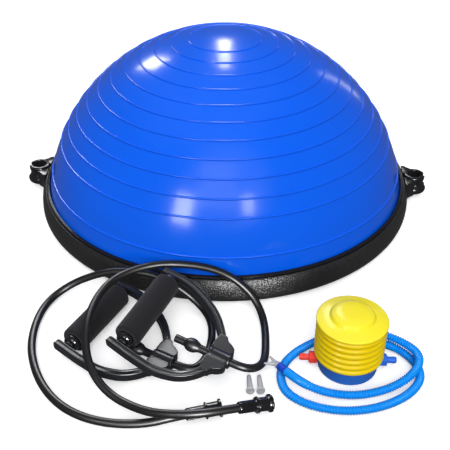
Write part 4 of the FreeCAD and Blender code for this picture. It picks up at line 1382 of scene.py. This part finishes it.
@dataclass
class SparePlugs:
    """Two spare plugs lying side by side on the floor."""

    spots: tuple[tuple[float, float], ...] = ((54.0, -459.5), (66.5, -459.0))
    heading: Spot = (-0.09, 1.0, -0.1)

    def build(self) -> None:
        """Makes both plugs as one piece."""
        plugs = [moved(Plug(5.2, 29.0).mesh(), facing((x, y, 5.4), self.heading)) for x, y in self.spots]
        stood(gathered(*plugs), "loose_plugs", PLUG_MILKY, "plugs", ["spare_plugs"])


# ---- studio -----------------------------------------------------------------------------------

@dataclass
class Studio:
    """A pale floor, soft lights and the camera."""

    eye: Spot = (56.5, -1078.2, 669.0)
    pitch: float = 34.543
    azimuth: float = 3.0
    lens: float = 59.95

    def build(self) -> None:
        """Sets up floor, sky, lights and camera."""
        self._floor()
        self._sky()
        self._camera()
        self._box("window_left", (-540, -1330, 640), (0, -180, 120), (270, 450), 11.0)
        self._box("window_right", (440, -1400, 790), (0, -180, 120), (170, 300), 9.0)
        self._box("front_panel", (-60, -1500, 1250), (0, -180, 120), (700, 900), 0.8)
        self._box("overhead", (-60, 1050, 1330), (0, 0, 150), (130, 900), 14.0)
        self._box("behind_left", (-900, 1190, 1080), (-60, 0, 200), (240, 400), 14.0)
        self._box("behind_right", (1000, 1300, 500), (100, 0, 150), (100, 700), 2.0)
        self._sun("front_fill", (0.1, -1.0, 0.85), 2.9, 50.0)
        self._sun("top_fill", (-0.15, 0.15, 1.0), 1.1, 70.0)
        dark = self._darks()
        self._box("rim_glow", (330, -1900, 420), (30, -300, 20), (800, 460), 60.0, dark)
        self._box("edge_glow", (-250, 1500, 1600), (-100, -380, 30), (1500, 900), 9.0, dark)

    def _floor(self) -> None:
        """The pale floor."""
        bm = bmesh.new()
        bmesh.ops.create_grid(bm, x_segments=1, y_segments=1, size=60.0)
        mesh = bpy.data.meshes.new("studio_floor")
        bm.to_mesh(mesh)
        bm.free()
        paint = bpy.data.materials.new("floor_paint")
        paint.use_nodes = True
        skin = paint.node_tree.nodes["Principled BSDF"]
        skin.inputs["Base Color"].default_value = (0.93, 0.93, 0.93, 1.0)
        skin.inputs["Roughness"].default_value = 0.9
        skin.inputs["Specular IOR Level"].default_value = 0.1
        skin.inputs["Emission Color"].default_value = (1.0, 1.0, 1.0, 1.0)
        skin.inputs["Emission Strength"].default_value = 0.32
        mesh.materials.append(paint)
        floor = bpy.data.objects.new("studio_floor", mesh)
        floor.location.z = -0.0003
        floor.visible_glossy = False
        floor.visible_diffuse = False
        bpy.context.scene.collection.objects.link(floor)

    def _sky(self) -> None:
        """The even light all round."""
        world = bpy.data.worlds.new("studio_light")
        world.use_nodes = True
        sky = world.node_tree.nodes["Background"]
        sky.inputs["Color"].default_value = (1.0, 1.0, 1.0, 1.0)
        sky.inputs["Strength"].default_value = 0.12
        bpy.context.scene.world = world
        bpy.context.scene.view_settings.view_transform = "Standard"

    def _camera(self) -> None:
        """The camera."""
        data = bpy.data.cameras.new("studio_camera")
        data.lens = self.lens
        data.sensor_width = 36.0
        data.clip_end = 200.0
        camera = bpy.data.objects.new("studio_camera", data)
        camera.location = METRES * Vector(self.eye)
        camera.rotation_euler = (math.radians(90 - self.pitch), 0.0, math.radians(self.azimuth))
        bpy.context.scene.collection.objects.link(camera)
        bpy.context.scene.camera = camera

    @staticmethod
    def _darks() -> bpy.types.Collection:
        """Gathers the glossy black pieces, which two boxes light on their own."""
        group = bpy.data.collections.new("dark_pieces")
        finishes = {PLATFORM_GRAIN.name, EAR_PLASTIC.name, HANDLE_PLASTIC.name,
                    HUB_PLASTIC.name, TUBE_RUBBER.name, STOPPER_PLASTIC.name, CONNECTOR_PLASTIC.name}
        for piece in bpy.context.scene.objects:
            if piece.type in {"MESH", "CURVE"} and piece.data.materials:
                if piece.data.materials[0].name in finishes:
                    group.objects.link(piece)
        return group

    def _box(self, name: str, spot: Spot, aim: Spot, size: tuple[float, float], glare: float,
             only: Optional[bpy.types.Collection] = None) -> None:
        """One soft box that shows only as a reflection.

        Args:
            name: the light's name.
            spot: where it hangs.
            aim: what it points at.
            size: its width and height.
            glare: how bright its face looks.
            only: the pieces it lights, when not all of them.
        """
        data = bpy.data.lights.new(name, "AREA")
        data.shape = "RECTANGLE"
        data.size = size[0] * METRES
        data.size_y = size[1] * METRES
        data.energy = glare * math.pi * data.size * data.size_y
        lamp = bpy.data.objects.new(name, data)
        lamp.visible_diffuse = False
        if only:
            lamp.light_linking.receiver_collection = only
        lamp.location = METRES * Vector(spot)
        heading = Vector(aim) - Vector(spot)
        lamp.rotation_euler = heading.to_track_quat("-Z", "Y").to_euler()
        bpy.context.scene.collection.objects.link(lamp)

    def _sun(self, name: str, towards: Spot, power: float, softness: float) -> None:
        """One even, soft light that gives no mirror image.

        Args:
            name: the light's name.
            towards: the direction it comes from.
            power: its strength.
            softness: how wide it looks, in degrees.
        """
        data = bpy.data.lights.new(name, "SUN")
        data.energy = power
        data.angle = math.radians(softness)
        lamp = bpy.data.objects.new(name, data)
        lamp.rotation_euler = Vector(towards).to_track_quat("Z", "Y").to_euler()
        lamp.visible_glossy = False
        bpy.context.scene.collection.objects.link(lamp)


def main() -> None:
    """Builds each sub-assembly in turn, then the studio round them."""
    left = Band("left", (-148.1, -351.8, 17.4), (-23.7, 4.0, 0.0), LEFT_ROUTE)
    right = Band("right", (-78.0, -366.5, 46.0), (-22.8, 7.5, 6.2), RIGHT_ROUTE)
    for assembly in (left, right, Hose(), FootPump(), SparePlugs(), Platform(), Dome()):
        assembly.build()
        LOG.info("%s is done", type(assembly).__name__)
    Studio().build()


if __name__ == "__main__":
    main()
